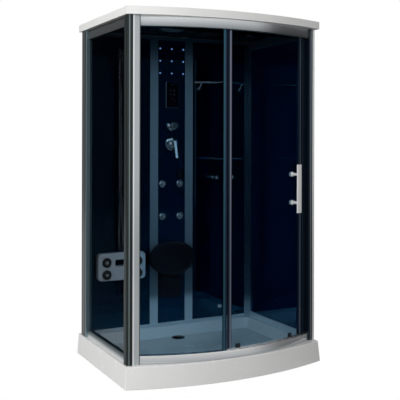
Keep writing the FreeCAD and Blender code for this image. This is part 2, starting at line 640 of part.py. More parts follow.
right_pane = box(right_x, "wall_y", "panel_low", "side_x - corner_leg - (%s)" % right_x, "panel_thick",
                 profile_tall)
steam_hole = rod("steam_x", "wall_y + 50", "steam_height", "steam_pipe_radius + 0.5", "100", FORWARD)
node("back_panel_right", cut(right_pane, steam_hole))
node("side_panel_right", box("side_x", "right_post_end", "tray_height + side_sill", "panel_thick",
                             "wall_y - corner_leg - right_post_end", "rail_top_z - tray_height - side_sill"))

JETS = [(side, level) for level in ("jet_high", "jet_low") for side in ("-", "+")]
holes = [rod("column_x %s jet_offset" % side, "wall_y + 50", level, "jet_barrel + 0.3", "100", FORWARD)
         for side, level in JETS]
holes += [rod("column_x", "wall_y + 50", level, "valve_radius * 0.7 + 0.3", "100", FORWARD)
          for level in ("diverter_height", "mixer_height")]
column_pane = box("column_left", "wall_y", "panel_low", "column_width", "panel_thick", profile_tall)
node("column_panel", cut(column_pane, *holes))

# ---------------------------------------------------------------- lamps and control panel
lamps = []
for row in range(3):
    for column in range(-1, 2):
        lamps.append(turned([("0", "0"), ("lamp_radius", "0"), ("lamp_radius", "2"),
                             ("lamp_radius * 0.6", "5"), ("0", "6")],
                            "column_x + lamp_spacing_x * %d" % column, "wall_y",
                            "lamp_top - lamp_spacing_z * %d" % row, FORWARD))
node("led_lamps", group(*lamps))
bezel = box("column_x - panel_width / 2", "wall_y - panel_depth", "panel_centre - panel_height / 2",
            "panel_width", "panel_depth", "panel_height")
window = box("column_x - panel_width / 2 + 10", "wall_y - panel_depth - 1",
             "panel_centre - panel_height / 2 + 9", "panel_width - 20", "2.5", "panel_height - 18")
node("control_panel", cut(bezel, window))

# ---------------------------------------------------------------- valves
node("diverter_valve", fuse(
    turned([("0", "0"), ("diverter_flange", "0"), ("diverter_flange", "3"), ("diverter_flange * 0.8", "7"),
            ("diverter_flange * 0.45", "knob_gap - 1"), ("axle_radius * 2", "knob_gap - 1"),
            ("axle_radius * 2", "knob_gap + knob_length * 0.6"), ("0", "knob_gap + knob_length * 0.6")],
           "column_x", "wall_y", "diverter_height", FORWARD),
    rod("column_x", "wall_y + valve_depth", "diverter_height", "valve_radius * 0.7", "valve_depth", FORWARD)))
node("diverter_knob", turned(
    [("axle_radius * 2 + 0.05", "knob_gap"), ("knob_radius * 0.86", "knob_gap"),
     ("knob_radius", "knob_gap + 4"), ("knob_radius", "knob_gap + knob_length - 3"),
     ("knob_radius - 3", "knob_gap + knob_length"), ("0", "knob_gap + knob_length"),
     ("0", "knob_gap + knob_length * 0.6 + 0.3"),
     ("axle_radius * 2 + 0.05", "knob_gap + knob_length * 0.6 + 0.3")],
    "column_x", "wall_y", "diverter_height", FORWARD))
node("mixer_valve", fuse(
    turned([("0", "0"), ("mixer_flange", "0"), ("mixer_flange", "4"), ("mixer_flange * 0.75", "9"),
            ("cap_radius * 0.9", "11"), ("cap_radius * 0.5", "11"), ("cap_radius * 0.5", "24"), ("0", "24")],
           "column_x", "wall_y", "mixer_height", FORWARD),
    rod("column_x", "wall_y + valve_depth", "mixer_height", "valve_radius * 0.7", "valve_depth", FORWARD)))
node("mixer_cap", cut(
    turned([("cap_radius * 0.5 + 0.05", "11.3"), ("cap_radius", "11.3"), ("cap_radius", "cap_length"),
            ("cap_radius * 0.7", "cap_length + 6"), ("0", "cap_length + 7"), ("0", "24.3"),
            ("cap_radius * 0.5 + 0.05", "24.3")], "column_x", "wall_y", "mixer_height", FORWARD),
    box("column_x - lever_width / 2 - 0.4", "wall_y - cap_length - 20", "mixer_height + cap_radius * 0.25",
        "lever_width + 0.8", "29.4", "cap_radius")))


def make_lever():
    """Lever: hub in the cap's notch, neck forward, blade hanging down and slightly outwards."""
    width = number("lever_width")
    x, y, z = number("column_x"), number("wall_y"), number("mixer_height")
    top = z + number("cap_radius") * 0.55
    front = y - number("cap_length")
    hub = Part.makeCylinder(6, width, V(x - width / 2, front + 3, top), V(1, 0, 0))
    neck = Part.makeBox(width, 26, 9, V(x - width / 2, front - 22, top - 2))
    drop = number("lever_drop")
    corners = [V(0, front - 26, top + 8), V(0, front - 14, top + 8), V(0, front - 17, top - 8),
               V(0, front - 50, top - drop), V(0, front - 57, top - drop)]
    side = Part.Face(Part.makePolygon([V(x - width / 2, p.y, p.z) for p in corners + corners[:1]]))
    return hub.fuse([neck, side.extrude(V(width, 0, 0))]).removeSplitter()


feature("mixer_lever", make_lever())

# ---------------------------------------------------------------- body jets
bodies = []
for side, level in JETS:
    bodies.append(turned(
        [("0", "-jet_depth"), ("jet_barrel", "-jet_depth"), ("jet_barrel", "0"), ("jet_flange", "0"),
         ("jet_flange", "4"), ("jet_flange - 5", "9"), ("jet_bore + 2", "9"), ("jet_bore", "7"),
         ("jet_bore", "jet_ball * -0.9"), ("jet_bore * 0.6", "jet_ball * -1.1"), ("jet_bore * 0.6", "4 - jet_depth"),
         ("0", "4 - jet_depth")], "column_x %s jet_offset" % side, "wall_y", level, FORWARD))
node("jet_bodies", group(*bodies))
for index, (side, level) in enumerate(JETS, start=1):
    ball = doc.addObject("Part::Sphere", "Ball")
    bind(ball, Radius="jet_ball")
    seat(ball, "column_x %s jet_offset" % side, "wall_y", level)
    spout = rod("column_x %s jet_offset" % side, "wall_y - jet_ball * 0.7", level, "jet_ball * 0.6",
                "jet_ball * 0.9", FORWARD)
    node("jet_nozzle_%d" % index, fuse(ball, spout))

node("robe_hook", turned(
    [("0", "0"), ("hook_radius * 0.55", "0"), ("hook_radius * 0.55", "4"), ("hook_radius * 0.3", "8"),
     ("hook_radius * 0.3", "hook_reach * 0.45"), ("hook_radius", "hook_reach * 0.5"),
     ("hook_radius * 0.95", "hook_reach * 0.72"), ("hook_radius * 0.6", "hook_reach * 0.94"),
     ("0", "hook_reach")], "column_x + hook_offset", "wall_y", "hook_height", FORWARD))

# ---------------------------------------------------------------- folding seat
def make_seat():
    """Oval seat standing up against the column, with two lugs down to the hinge pin."""
    x, z = number("seat_x"), number("seat_centre")
    thick = number("seat_thick")
    back = number("wall_y - bracket_thick") - 12
    wide, tall = number("seat_width") / 2, number("seat_length") / 2
    oval = Part.Ellipse(V(0, 0, 0), wide, tall).toShape()
    oval.Placement = FreeCAD.Placement(V(x, back, z), FORWARD)
    disc = Part.Face(Part.Wire(oval)).extrude(V(0, -thick, 0))
    disc = disc.makeFillet(thick * 0.3, [e for e in disc.Edges if not e.Closed or e.Length > 100])
    pin_y, pin_z = number("seat_hinge_y"), number("seat_hinge_height")
    lug, apart = number("seat_lug_width"), number("seat_lug_spacing")
    for side in (-1, 1):
        low = x + side * apart / 2 - lug / 2
        eye = Part.makeCylinder(14, lug, V(low, pin_y, pin_z), V(1, 0, 0))
        arm = Part.makeBox(lug, 24, z - tall * 0.75 - pin_z, V(low, pin_y - 12, pin_z))
        disc = disc.fuse([eye, arm])
    bore = Part.makeCylinder(number("seat_pin_radius + seat_play"), 2 * wide, V(x - wide, pin_y, pin_z), V(1, 0, 0))
    return disc.cut(bore).removeSplitter()


feature("seat", make_seat())
ears = [box("seat_x - bracket_width / 2", "wall_y - bracket_thick", "bracket_low", "bracket_width",
            "bracket_thick", "bracket_top - bracket_low")]
for low in ("-seat_lug_spacing / 2 - seat_lug_width / 2 - 11", "seat_lug_width / 2 - seat_lug_spacing / 2 + 1",
            "seat_lug_spacing / 2 - seat_lug_width / 2 - 11", "seat_lug_spacing / 2 + seat_lug_width / 2 + 1"):
    ears.append(box("seat_x + " + low, "seat_hinge_y - 13", "seat_hinge_height - 13", "10",
                    "seat_hinge_reach + 13", "26"))
ears.append(rod("seat_x - seat_lug_spacing / 2 - seat_lug_width / 2 - 13", "seat_hinge_y",
                "seat_hinge_height", "seat_pin_radius",
                "seat_lug_spacing + seat_lug_width + 26", ALONG_X))
node("seat_bracket", fuse(*ears))

# ---------------------------------------------------------------- foot massager
massager = doc.addObject("PartDesign::Body", "Massager")
drawn = sketch(massager, "XZ_Plane", [[
    ("massager_x - massager_width / 2", "massager_height - massager_tall / 2"),
    ("massager_x + massager_width / 2", "massager_height - massager_tall / 2"),
    ("massager_x + massager_width / 2", "massager_height + massager_tall / 2"),
    ("massager_x - massager_width / 2", "massager_height + massager_tall / 2")], [
    ("massager_x - slot_width / 2", "massager_height + slot_rise - slot_tall / 2"),
    ("massager_x + slot_width / 2", "massager_height + slot_rise - slot_tall / 2"),
    ("massager_x + slot_width / 2", "massager_height + slot_rise + slot_tall / 2"),
    ("massager_x - slot_width / 2", "massager_height + slot_rise + slot_tall / 2")]])
pad = massager.newObject("PartDesign::Pad", "Depth")
pad.Profile = drawn
bind(pad, Length="massager_depth")
seat(massager, "0", "wall_y", "0")


def massager_corner(edge):
    """True for the four front-to-back edges at the outer corners."""
    run = edge.Vertexes[0].Point - edge.Vertexes[-1].Point
    far = abs(edge.CenterOfMass.x - number("massager_x")) > number("massager_width") / 2 - 1
    return far and abs(run.y) > 1 and abs(run.x) + abs(run.z) < 0.1


rounded(massager, massager_corner, "massager_round")
node("massager_body", massager)
pads = []
for x in ("massager_x - pad_spacing_x / 2", "massager_x + pad_spacing_x / 2"):
    for z in ("massager_height - pad_drop - pad_spacing_z / 2", "massager_height - pad_drop + pad_spacing_z / 2"):
        pads.append(turned([("0", "0"), ("pad_radius", "0"), ("pad_radius", "6"), ("pad_radius - 5", "10"),
                            ("pad_hub + 4", "8"), ("pad_hub", "12"), ("0", "13")],
                           x, "wall_y - massager_depth", z, FORWARD))
node("massager_pads", group(*pads))

# ---------------------------------------------------------------- hand shower on its riser rail
riser = [rod("riser_x", "riser_y", "riser_low + 12", "riser_radius", "riser_top - riser_low - 24")]
for level in ("riser_low", "riser_top"):
    riser.append(fuse(rod("riser_x", "wall_y", level, "riser_radius * 1.8", "6", FORWARD),
                      rod("riser_x", "wall_y", level, "riser_radius * 1.1", "riser_reach + 14", FORWARD)))
hook_end = rod("riser_x", "riser_y", "riser_low - 12", "riser_radius * 1.5", "24")
head_end = rod("riser_x", "riser_y", "riser_top - 12", "riser_radius * 1.5", "24")
outlet = rod("riser_x", "riser_y - 14", "hose_start_height", "hose_radius + 3",
             "riser_low - hose_start_height")
node("riser_rail", fuse(*riser, hook_end, head_end, outlet))
sleeve = turned([("riser_radius + 0.05", "-slider_tall / 2"), ("slider_radius * 0.68", "-slider_tall / 2"),
                 ("slider_radius * 0.9", "-slider_tall * 0.3"), ("slider_radius", "-slider_tall * 0.1"),
                 ("slider_radius", "slider_tall * 0.1"), ("slider_radius * 0.9", "slider_tall * 0.3"),
                 ("slider_radius * 0.68", "slider_tall / 2"), ("riser_radius + 0.05", "slider_tall / 2")],
                "riser_x", "riser_y", "slider_height")
bore = rod("riser_x", "riser_y", "slider_height - 100", "riser_radius + 0.05", "200")
stub = rod("riser_x", "riser_y - slider_radius + 3", "slider_height", "7",
           "socket_reach - riser_reach - slider_radius - socket_radius + 9", FORWARD)
cup = doc.addObject("Part::Sphere", "Cup")
bind(cup, Radius="socket_radius + socket_play")
seat(cup, "riser_x", "socket_y", "slider_height")
node("slider", cut(fuse(sleeve, stub), bore, cup))


def make_handset():
    """Hand shower: ball at the pivot, tapered handle, round head facing down and forward."""
    x, y, z = number("riser_x"), number("socket_y"), number("slider_height")
    lean = math.radians(number("handset_tilt"))
    up = V(0, -math.sin(lean), math.cos(lean))
    pivot = V(x, y, z)
    radius, length = number("handset_radius"), number("handset_length")
    socket = Part.makeSphere(number("socket_radius"), pivot)
    tail = Part.makeCone(radius * 0.75, radius, 50, pivot - up * 48, up)
    handle = Part.makeCone(radius, radius * 1.3, length - 30, pivot, up)
    neck = pivot + up * (length - 30)
    face = V(0, -math.cos(lean + 0.7), -math.sin(lean + 0.7))
    head = Part.makeCone(number("head_radius") * 0.8, number("head_radius"), number("head_thick"),
                         neck - face * number("head_thick") * 0.4 + V(0, -8, 4), face)
    return socket.fuse([tail, handle, head]).removeSplitter()


feature("handset", make_handset())

# hose: from the outlet under the riser's lower bracket, a hanging loop, up to the handset's tail.
# x, distance from the wall, height
HOSE_POINTS = [
    (-395, 69, 1034), (-395, 69, 958), (-393.5, 72, 880), (-391, 76, 812), (-389.6, 78.4, 775),
    (-389, 79, 728), (-396.4, 89.8, 705.3), (-409.1, 108.6, 692.2), (-423.8, 130.3, 692.2),
    (-436.6, 149, 705.3), (-444, 160, 728), (-446.5, 163, 775), (-445, 159, 830), (-437, 145, 905),
    (-425, 124, 985), (-413.5, 105, 1065), (-406, 93.5, 1145), (-402.5, 87.5, 1225), (-401, 83.5, 1305),
    (-400.4, 81, 1385), (-400, 79.5, 1460), (-400, 78.8, 1540), (-400, 78.6, 1615), (-400, 79.666, 1688.646),
]


def hose_path(points):
    """Straight runs joined by tangent arcs, each as large as its two runs allow."""
    edges, length, here = [], 0.0, points[0]
    radii = []
    for before, corner, after in zip(points, points[1:], points[2:]):
        back, ahead = before - corner, after - corner
        turn = math.pi - back.getAngle(ahead)
        reach = 0.45 * min(back.Length, ahead.Length)
        radii.append(reach / math.tan(turn / 2))
        start = corner + back.normalize() * reach
        end = corner + ahead.normalize() * reach
        bisector = (back + ahead).normalize()
        radius = radii[-1]
        middle = corner + bisector * (radius / math.cos(turn / 2) - radius)
        edges.append(Part.LineSegment(here, start).toShape())
        edges.append(Part.Arc(start, middle, end).toShape())
        here = end
    edges.append(Part.LineSegment(here, points[-1]).toShape())
    print("hose radii", [round(r) for r in radii])
    return Part.Wire(edges)


def make_hose():
    """Round tube along the hose's route."""
    wall = number("wall_y")
    rise = number("rise")
    points = [V(x, wall - reach, z * rise) for x, reach, z in HOSE_POINTS]
    tail = V(number("riser_x"), number("socket_y"), number("slider_height"))
    lean = math.radians(number("handset_tilt"))
    up = V(0, -math.sin(lean), math.cos(lean))
    points.append(tail - up * 48)
    path = hose_path(points)
    first = points[1] - points[0]
    radius = number("hose_radius")
    ring_wire = Part.Wire([Part.Circle(points[0], first, radius).toShape()])
    shell = Part.BRepOffsetAPI.MakePipeShell(path)
    shell.add(ring_wire)
    shell.build()
    shell.makeSolid()
    tube = shell.shape()
    print("hose length", round(path.Length), "volume ratio",
          round(tube.Volume / (math.pi * radius ** 2 * path.Length), 4))
    return tube


feature("shower_hose", make_hose())

# ---------------------------------------------------------------- towel rail, shelf, steam outlet
def make_towel_rail():
    """Bowed bar with round ends, on two rising posts with wall roses."""
    left, right, z = number("towel_left"), number("towel_right"), number("towel_height")
    y = number("wall_y - towel_seat - towel_radius")
    bow, radius, inset = number("towel_bow"), number("towel_radius"), number("towel_post_inset")
    middle = (left + right) / 2
    arc = Part.Arc(V(left, y, z), V(middle, y - bow, z), V(right, y, z))
    path = Part.Wire([arc.toShape()])
    start = arc.tangent(arc.FirstParameter)[0]
    bar = path.makePipeShell([Part.Wire([Part.Circle(V(left, y, z), start, radius).toShape()])], True, False)
    pieces = [Part.makeSphere(radius + 1.5, V(left, y, z)), Part.makeSphere(radius + 1.5, V(right, y, z))]
    span = (right - left) / 2
    for x in (left + inset, right - inset):
        reach = bow * (1 - ((x - middle) / span) ** 2)
        foot = V(x, number("wall_y") - 4, z - number("towel_drop"))
        top = V(x, y - reach, z)
        pieces.append(Part.makeCylinder(5, (top - foot).Length, foot, top - foot))
        pieces.append(Part.makeCylinder(16, 6, V(x, number("wall_y"), foot.z), V(0, -1, 0)))
    return bar.fuse(pieces).removeSplitter()


feature("towel_rail", make_towel_rail())
shelf_y = "wall_y - shelf_depth"
node("shelf", fuse(
    box("shelf_left", shelf_y, "shelf_low", "shelf_width", "shelf_depth", "shelf_wall"),
    box("shelf_left", shelf_y, "shelf_low + shelf_middle", "shelf_width", "shelf_depth", "shelf_wall"),
    box("shelf_left", shelf_y, "shelf_low", "shelf_wall", "shelf_depth", "shelf_tall"),
    box("shelf_right - shelf_wall", shelf_y, "shelf_low", "shelf_wall", "shelf_depth", "shelf_tall"),
    box("shelf_left", shelf_y, "shelf_low", "shelf_width", "shelf_wall", "22"),
    box("shelf_left", shelf_y, "shelf_low + shelf_middle", "shelf_width", "shelf_wall", "22")))
brackets = []
for x in ("shelf_left + 40", "shelf_right - 40"):
    brackets.append(fuse(
        rod(x, "wall_y", "shelf_low - 12.3", "12", "8", FORWARD),
        rod(x, "wall_y", "shelf_low - 12.3", "7", "shelf_depth * 0.6", FORWARD),
        rod(x, shelf_y + " + 36", "shelf_low - 20", "11", "19.7")))
brackets += [
    rod("shelf_left - 5.3", "wall_y - 1", "shelf_low + shelf_tall - 12", "5", "shelf_depth - 1", FORWARD),
    rod("shelf_right + 5.3", "wall_y - 1", "shelf_low + shelf_tall - 12", "5", "shelf_depth - 1", FORWARD),
    rod("shelf_left - 5.3", shelf_y + " - 5.3", "shelf_low + shelf_tall - 12", "5", "shelf_width + 10.6",
        ALONG_X)]
node("shelf_rail", group(brackets[0], brackets[1], fuse(*brackets[2:])))
node("steam_outlet", turned(
    [("steam_radius * 0.4", "0"), ("steam_radius", "0"), ("steam_radius", "4"), ("steam_radius * 0.7", "12"),
     ("steam_radius * 0.4", "12")], "steam_x", "wall_y", "steam_height", FORWARD))

# ---------------------------------------------------------------- ceiling and roof fittings
node("rain_head", turned(
    [("0", "0"), ("rain_radius - 4", "0"), ("rain_radius", "4"), ("rain_radius", "rain_thick - 4"),
     ("rain_radius * 0.5", "rain_thick"), ("18", "rain_thick + 6"), ("14", "rain_drop - 1"),
     ("9", "rain_drop - 1"), ("9", "rain_drop + 3.4"), ("0", "rain_drop + 3.4")], "rain_x", "rain_y",
    "ceiling_z - rain_drop - 7"))
node("rain_arm", turned(
    [("9.3", "-6"), ("17", "-6"), ("17", "-3"), ("30", "-3"), ("30", "0"), ("pipe_radius", "0"),
     ("pipe_radius", "roof_plate + 12"), ("pipe_radius * 0.6", "roof_plate + 12"), ("pipe_radius * 0.6", "-2.5"),
     ("9.3", "-2.5")],
    "rain_x", "rain_y", "ceiling_z"))
node("ceiling_lamp", turned(
    [("0", "-14"), ("light_radius * 0.6", "-12"), ("light_radius * 0.92", "-6"), ("light_radius", "0"),
     ("0", "0")], "light_x", "light_y", "ceiling_z"))
grille = box("fan_x - fan_size / 2", "fan_y - fan_size / 2", "ceiling_z - 4", "fan_size", "fan_size", "4")
slots = []
for step in range(8):
    slots.append(box("fan_x - fan_size / 2 + 12", "fan_y - fan_size / 2 + 12 + (fan_size - 24) / 8 * %d" % step,
                     "ceiling_z - 10", "fan_size - 24", "(fan_size - 24) / 8 - 5", "20"))
grille = cut(grille, *slots)
housing = box("fan_x - fan_size / 2 + 6.5", "fan_y - fan_size / 2 + 6.5", "ceiling_z + 0.3", "fan_size - 13",
              "fan_size - 13", "fan_height + 8")
well = rod("fan_x", "fan_y", "ceiling_z - 1", "fan_wheel_radius + 2", "fan_height + 1")
bearing = rod("fan_x", "fan_y", "ceiling_z + fan_height - 1", "3", "3")
outlet_hole = rod("fan_x", "fan_y", "ceiling_z", "fan_wheel_radius * 0.8", "fan_height + 20")
bridge = box("fan_x - 60", "fan_y - 8", "ceiling_z + fan_height", "120", "16", "8")
spindle = rod("fan_x", "fan_y", "ceiling_z + 6", "axle_radius", "fan_height - 5")
node("fan_unit", group(grille, fuse(cut(housing, well, outlet_hole), bridge, spindle)))


def make_fan():
    """Seven-bladed wheel on a hub that turns on the housing's spindle."""
    x, y, z = number("fan_x"), number("fan_y"), number("ceiling_z") + 8
    radius = number("fan_wheel_radius")
    hub = Part.makeCylinder(14, 16, V(x, y, z))
    blades = []
    for step in range(7):
        blade = Part.makeBox(radius - 12, 2.5, 16, V(12, -1.25, 0))
        blade.rotate(V(0, 0, 0), V(1, 0, 0), 32)
        blade.rotate(V(0, 0, 0), V(0, 0, 1), step * 360.0 / 7)
        blade.translate(V(x, y, z))
        blades.append(blade)
    trim = Part.makeCylinder(radius, 14.5, V(x, y, z + 0.6))
    bore = Part.makeCylinder(number("axle_radius") + 0.05, 60, V(x, y, z - 20))
    return hub.fuse(blades).common(trim.fuse(hub)).cut(bore).removeSplitter()


feature("fan_wheel", make_fan())
node("speaker", turned(
    [("0", "-3"), ("speaker_radius * 0.5", "-6"), ("speaker_radius - 4", "-6"), ("speaker_radius", "-3"),
     ("speaker_radius", "0"), ("0", "0")], "speaker_x", "speaker_y", "ceiling_z"))
boiler = box("boiler_x", "boiler_y", "roof_deck", "boiler_length", "boiler_width", "boiler_height")
node("steam_generator", fuse(
    boiler,
    rod("boiler_x + boiler_length", "boiler_y + boiler_width / 2", "roof_deck + boiler_height / 2",
        "steam_pipe_radius + 4", "20", ALONG_X),
    rod("boiler_x - 12", "boiler_y + boiler_width / 2", "roof_deck + boiler_height / 2", "24", "13", ALONG_X)))
node("control_box", fuse(
    box("box_x", "box_y", "roof_deck", "box_length", "box_width", "box_height - 6"),
    box("box_x - 4", "box_y - 4", "roof_deck + box_height - 6", "box_length + 8", "box_width + 8", "6")))

# ---------------------------------------------------------------- pipes behind the walls and over the roof
pipe_y = "wall_y + pipe_setback"
post = rod("column_x", pipe_y, "jet_low - 20", "pipe_radius", "mixer_height - jet_low + 20 - valve_radius * 0.7 - 0.3")
riser_pipe = rod("column_x", pipe_y, "diverter_height + valve_radius * 0.7 + 0.3", "pipe_radius",
                 "roof_deck + 10 - diverter_height - valve_radius * 0.7")
link = rod("column_x", pipe_y, "mixer_height + valve_radius * 0.7 + 0.3", "pipe_radius * 0.9",
           "diverter_height - mixer_height - valve_radius * 1.4 - 0.6")
branches = [rod("column_x - jet_offset + jet_barrel + 0.1", pipe_y, level, "pipe_radius * 0.7",
                "2 * jet_offset - 2 * jet_barrel - 0.2", ALONG_X) for level in ("jet_high", "jet_low")]
steam_low = rod("steam_x", pipe_y, "steam_height", "steam_pipe_radius", "roof_deck + 20 - steam_height")
elbow = rod("steam_x", pipe_y, "steam_height", "steam_pipe_radius", "pipe_setback", FORWARD)
over = rod("boiler_x + boiler_length + 20", pipe_y, "roof_deck + 14", "steam_pipe_radius",
           "steam_x - boiler_x - boiler_length - 20", ALONG_X)
node("pipes", group(fuse(post, *branches), link, riser_pipe, fuse(steam_low, elbow, over)))

# ---------------------------------------------------------------- check and write
doc.recompute()
for item in doc.Objects:
    if "Invalid" in item.State or "Error" in item.State:
        raise RuntimeError("%s (%s) failed: %s" % (item.Label, item.Name, item.State))
os.makedirs("parts", exist_ok=True)
for label, item in NODES.items():
    shape = item.Shape
    if shape.isNull() or not shape.isValid() or not shape.Solids:
        raise RuntimeError("%s has no valid solid" % label)
    shape.exportStep("parts/%s.step" % label)
print(len(NODES), "sub-parts")
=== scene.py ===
"""Looks of a steam shower cabin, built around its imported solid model.

Metres, +Z up, the bowed door towards -Y. Each class holds the sizes of one sub-assembly and dresses it.
"""

import logging
import math
from dataclasses import dataclass
from enum import Enum, IntEnum
from itertools import product
from typing import Sequence

import bmesh
import bpy
import numpy as np
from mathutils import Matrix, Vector


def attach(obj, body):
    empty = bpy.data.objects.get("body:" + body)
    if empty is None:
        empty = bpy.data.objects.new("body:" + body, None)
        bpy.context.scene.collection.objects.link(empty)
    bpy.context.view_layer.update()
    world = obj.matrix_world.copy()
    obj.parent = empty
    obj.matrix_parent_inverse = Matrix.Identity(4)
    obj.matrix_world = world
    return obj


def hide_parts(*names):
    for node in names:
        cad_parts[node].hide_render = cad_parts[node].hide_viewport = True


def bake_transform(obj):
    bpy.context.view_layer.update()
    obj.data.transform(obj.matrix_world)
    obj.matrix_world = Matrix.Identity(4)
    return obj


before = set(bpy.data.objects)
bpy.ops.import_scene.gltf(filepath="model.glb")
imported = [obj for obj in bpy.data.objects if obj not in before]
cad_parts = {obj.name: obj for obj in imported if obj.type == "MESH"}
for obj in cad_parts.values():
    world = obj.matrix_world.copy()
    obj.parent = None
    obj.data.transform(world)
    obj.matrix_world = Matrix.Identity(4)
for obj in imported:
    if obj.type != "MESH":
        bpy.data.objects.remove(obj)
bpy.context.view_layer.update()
log = logging.getLogger("cabin")

Pair = tuple[float, float]
Triple = tuple[float, float, float]
Piece = bpy.types.Object
WALL_Y = 0.4425  # inner face of the back wall
FORWARD: Triple = (0.0, -1.0, 0.0)
RIGHT: Triple = (1.0, 0.0, 0.0)
UP: Triple = (0.0, 0.0, 1.0)
SAME_PLACE = 1e-6  # points of a solid closer than this are one
FLAT = math.radians(0.4)  # faces that meet within this angle are one
CREASE = math.radians(32.0)  # edges above this angle are sharp, and rounded
CORNER_STEPS = 8  # points on a rounded corner
LEAST_CORNER = 0.3  # share of its corner radius that an inset ring keeps at least
NOISE_RANGE: Pair = (0.3, 0.7)  # where most values of a noise lie
UNIT: Pair = (0.0, 1.0)


class Axis(IntEnum):
    """Axes of the part's frame."""

    X = 0
    Y = 1
    Z = 2


# ---------- meshes from numpy arrays
def placed(name: str, data: bpy.types.ID) -> Piece:
    """Put data into a new object at the origin and link it to the scene."""
    piece = bpy.data.objects.new(name, data)
    bpy.context.collection.objects.link(piece)
    return piece


def mesh_object(name: str, points: np.ndarray, faces: list[list[int]],
                smooth: bool = True) -> Piece:
    """Put points and faces into a new object that sits at the origin.

    Args:
        name: the piece's name.
        points: n by 3 array of places in metres.
        faces: corner numbers of each face.
        smooth: whether the faces are shaded smooth.

    Returns:
        The linked object.
    """
    mesh = bpy.data.meshes.new(name)
    mesh.from_pydata(points.tolist(), [], faces)
    mesh.polygons.foreach_set("use_smooth", np.full(len(mesh.polygons), smooth))
    mesh.update()
    return placed(name, mesh)


def rings_joined(name: str, rings: np.ndarray, smooth: bool = True) -> Piece:
    """Skin over a stack of closed rings, capped at both ends.

    Point j of ring i has number i * columns + j.

    Args:
        name: the piece's name.
        rings: rows by columns by 3 array of places.
        smooth: whether the faces are shaded smooth.

    Returns:
        The closed piece.
    """
    rows, columns = rings.shape[:2]
    i, j = np.meshgrid(np.arange(rows - 1), np.arange(columns), indexing="ij")
    k = (j + 1) % columns
    quads = np.stack([i * columns + j, i * columns + k, (i + 1) * columns + k, (i + 1) * columns + j], -1)
    end = np.arange(columns)
    caps = [end[::-1].tolist(), (end + (rows - 1) * columns).tolist()]
    return mesh_object(name, rings.reshape(-1, 3), quads.reshape(-1, 4).tolist() + caps, smooth)


def circle(count: int) -> np.ndarray:
    """Points (cos a, sin a), evenly round a unit circle."""
    angle = np.linspace(0, 2 * math.pi, count, endpoint=False)
    return np.stack([np.cos(angle), np.sin(angle)], -1)


def turned(name: str, profile: Sequence[Pair], origin: Triple, axis: Triple, count: int) -> Piece:
    """Turned piece: origin + radius (cos a, sin a) across the axis + height along it.

    Args:
        name: the piece's name.
        profile: radii and heights in millimetres, from the back end to the front end.
        origin: the place where the height is zero.
        axis: the level direction in which the height grows.
        count: points around.

    Returns:
        The piece, closed at both ends.
    """
    third = np.array(axis)
    first = np.cross(UP, third)
    second = np.cross(third, first)
    radius, height = np.array(profile).T / 1000.0
    ring = circle(count)
    across = ring[:, :1] * first + ring[:, 1:] * second
    rings = np.array(origin) + radius[:, None, None] * across + (height[:, None] * third)[:, None]
    return rings_joined(name, rings)


def merged(name: str, parts: Sequence[Piece]) -> Piece:
    """Join pieces into one object, each keeping its faces.

    Args:
        name: name of the joined piece.
        parts: pieces at the origin, without modifiers; they are used up.

    Returns:
        The joined piece.
    """
    work = bmesh.new()
    for part in parts:
        mesh = part.data
        work.from_mesh(mesh)
        bpy.data.objects.remove(part)
        bpy.data.meshes.remove(mesh)
    joined = bpy.data.meshes.new(name)
    work.to_mesh(joined)
    work.free()
    return placed(name, joined)


def rounded_outline(width: float, tall: float, radius: float) -> np.ndarray:
    """Rounded rectangle about the origin: quarter circles at the corners, joined by straight sides."""
    corner = np.array([[1, 1], [-1, 1], [-1, -1], [1, -1]])
    centre = corner * (np.array([width, tall]) / 2 - radius)
    start = np.arange(len(corner)) * math.pi / 2
    angle = start[:, None] + np.linspace(0, math.pi / 2, CORNER_STEPS)
    arc = np.stack([np.cos(angle), np.sin(angle)], -1) * radius
    return (centre[:, None] + arc).reshape(-1, 2)


def slab_rings(width: float, tall: float, radius: float, levels: Sequence[Pair]) -> np.ndarray:
    """Stack of rounded rectangles; each level is (inset, height), so edges can be softened."""
    rings = []
    for inset, height in levels:
        corner = max(radius - inset, radius * LEAST_CORNER)
        flat = rounded_outline(width - 2 * inset, tall - 2 * inset, corner)
        rings.append(np.column_stack([flat, np.full(len(flat), height)]))
    return np.array(rings)


def wall_slab(name: str, centre: Triple, size: Triple, levels: Sequence[Pair]) -> Piece:
    """Slab on a wall that faces -Y.

    Args:
        name: the piece's name.
        centre: middle of the slab's back.
        size: width along X, height along Z, and corner radius.
        levels: (inset, depth towards -Y) of each ring.

    Returns:
        The closed slab.
    """
    rings = slab_rings(*size, levels)
    return rings_joined(name, np.stack([centre[0] + rings[..., 0], centre[1] - rings[..., 2],
                                        centre[2] + rings[..., 1]], -1))


def softened(name: str, width: float, segments: int = 2) -> Piece:
    """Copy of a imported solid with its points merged, its flat faces joined and its edges rounded.

    Args:
        name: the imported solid.
        width: how far the rounding reaches into each face.
        segments: faces across one rounding.

    Returns:
        The copy, at the origin.
    """
    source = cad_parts[name]
    work = bmesh.new()
    work.from_mesh(source.data)
    work.transform(source.matrix_world)
    bmesh.ops.remove_doubles(work, verts=work.verts, dist=SAME_PLACE)
    bmesh.ops.dissolve_limit(work, angle_limit=FLAT, verts=work.verts, edges=work.edges)
    for edge in work.edges:
        edge.smooth = len(edge.link_faces) == 2 and edge.calc_face_angle(0.0) < CREASE
    for face in work.faces:
        face.smooth = True
    mesh = bpy.data.meshes.new(name + "_soft")
    work.to_mesh(mesh)
    work.free()
    piece = placed(mesh.name, mesh)
    bevel = piece.modifiers.new("soft_edges", "BEVEL")
    bevel.width = width
    bevel.segments = segments
    bevel.limit_method = "ANGLE"
    bevel.angle_limit = CREASE
    bevel.harden_normals = True
    return piece


# ---------- node trees
Socket = bpy.types.NodeSocket


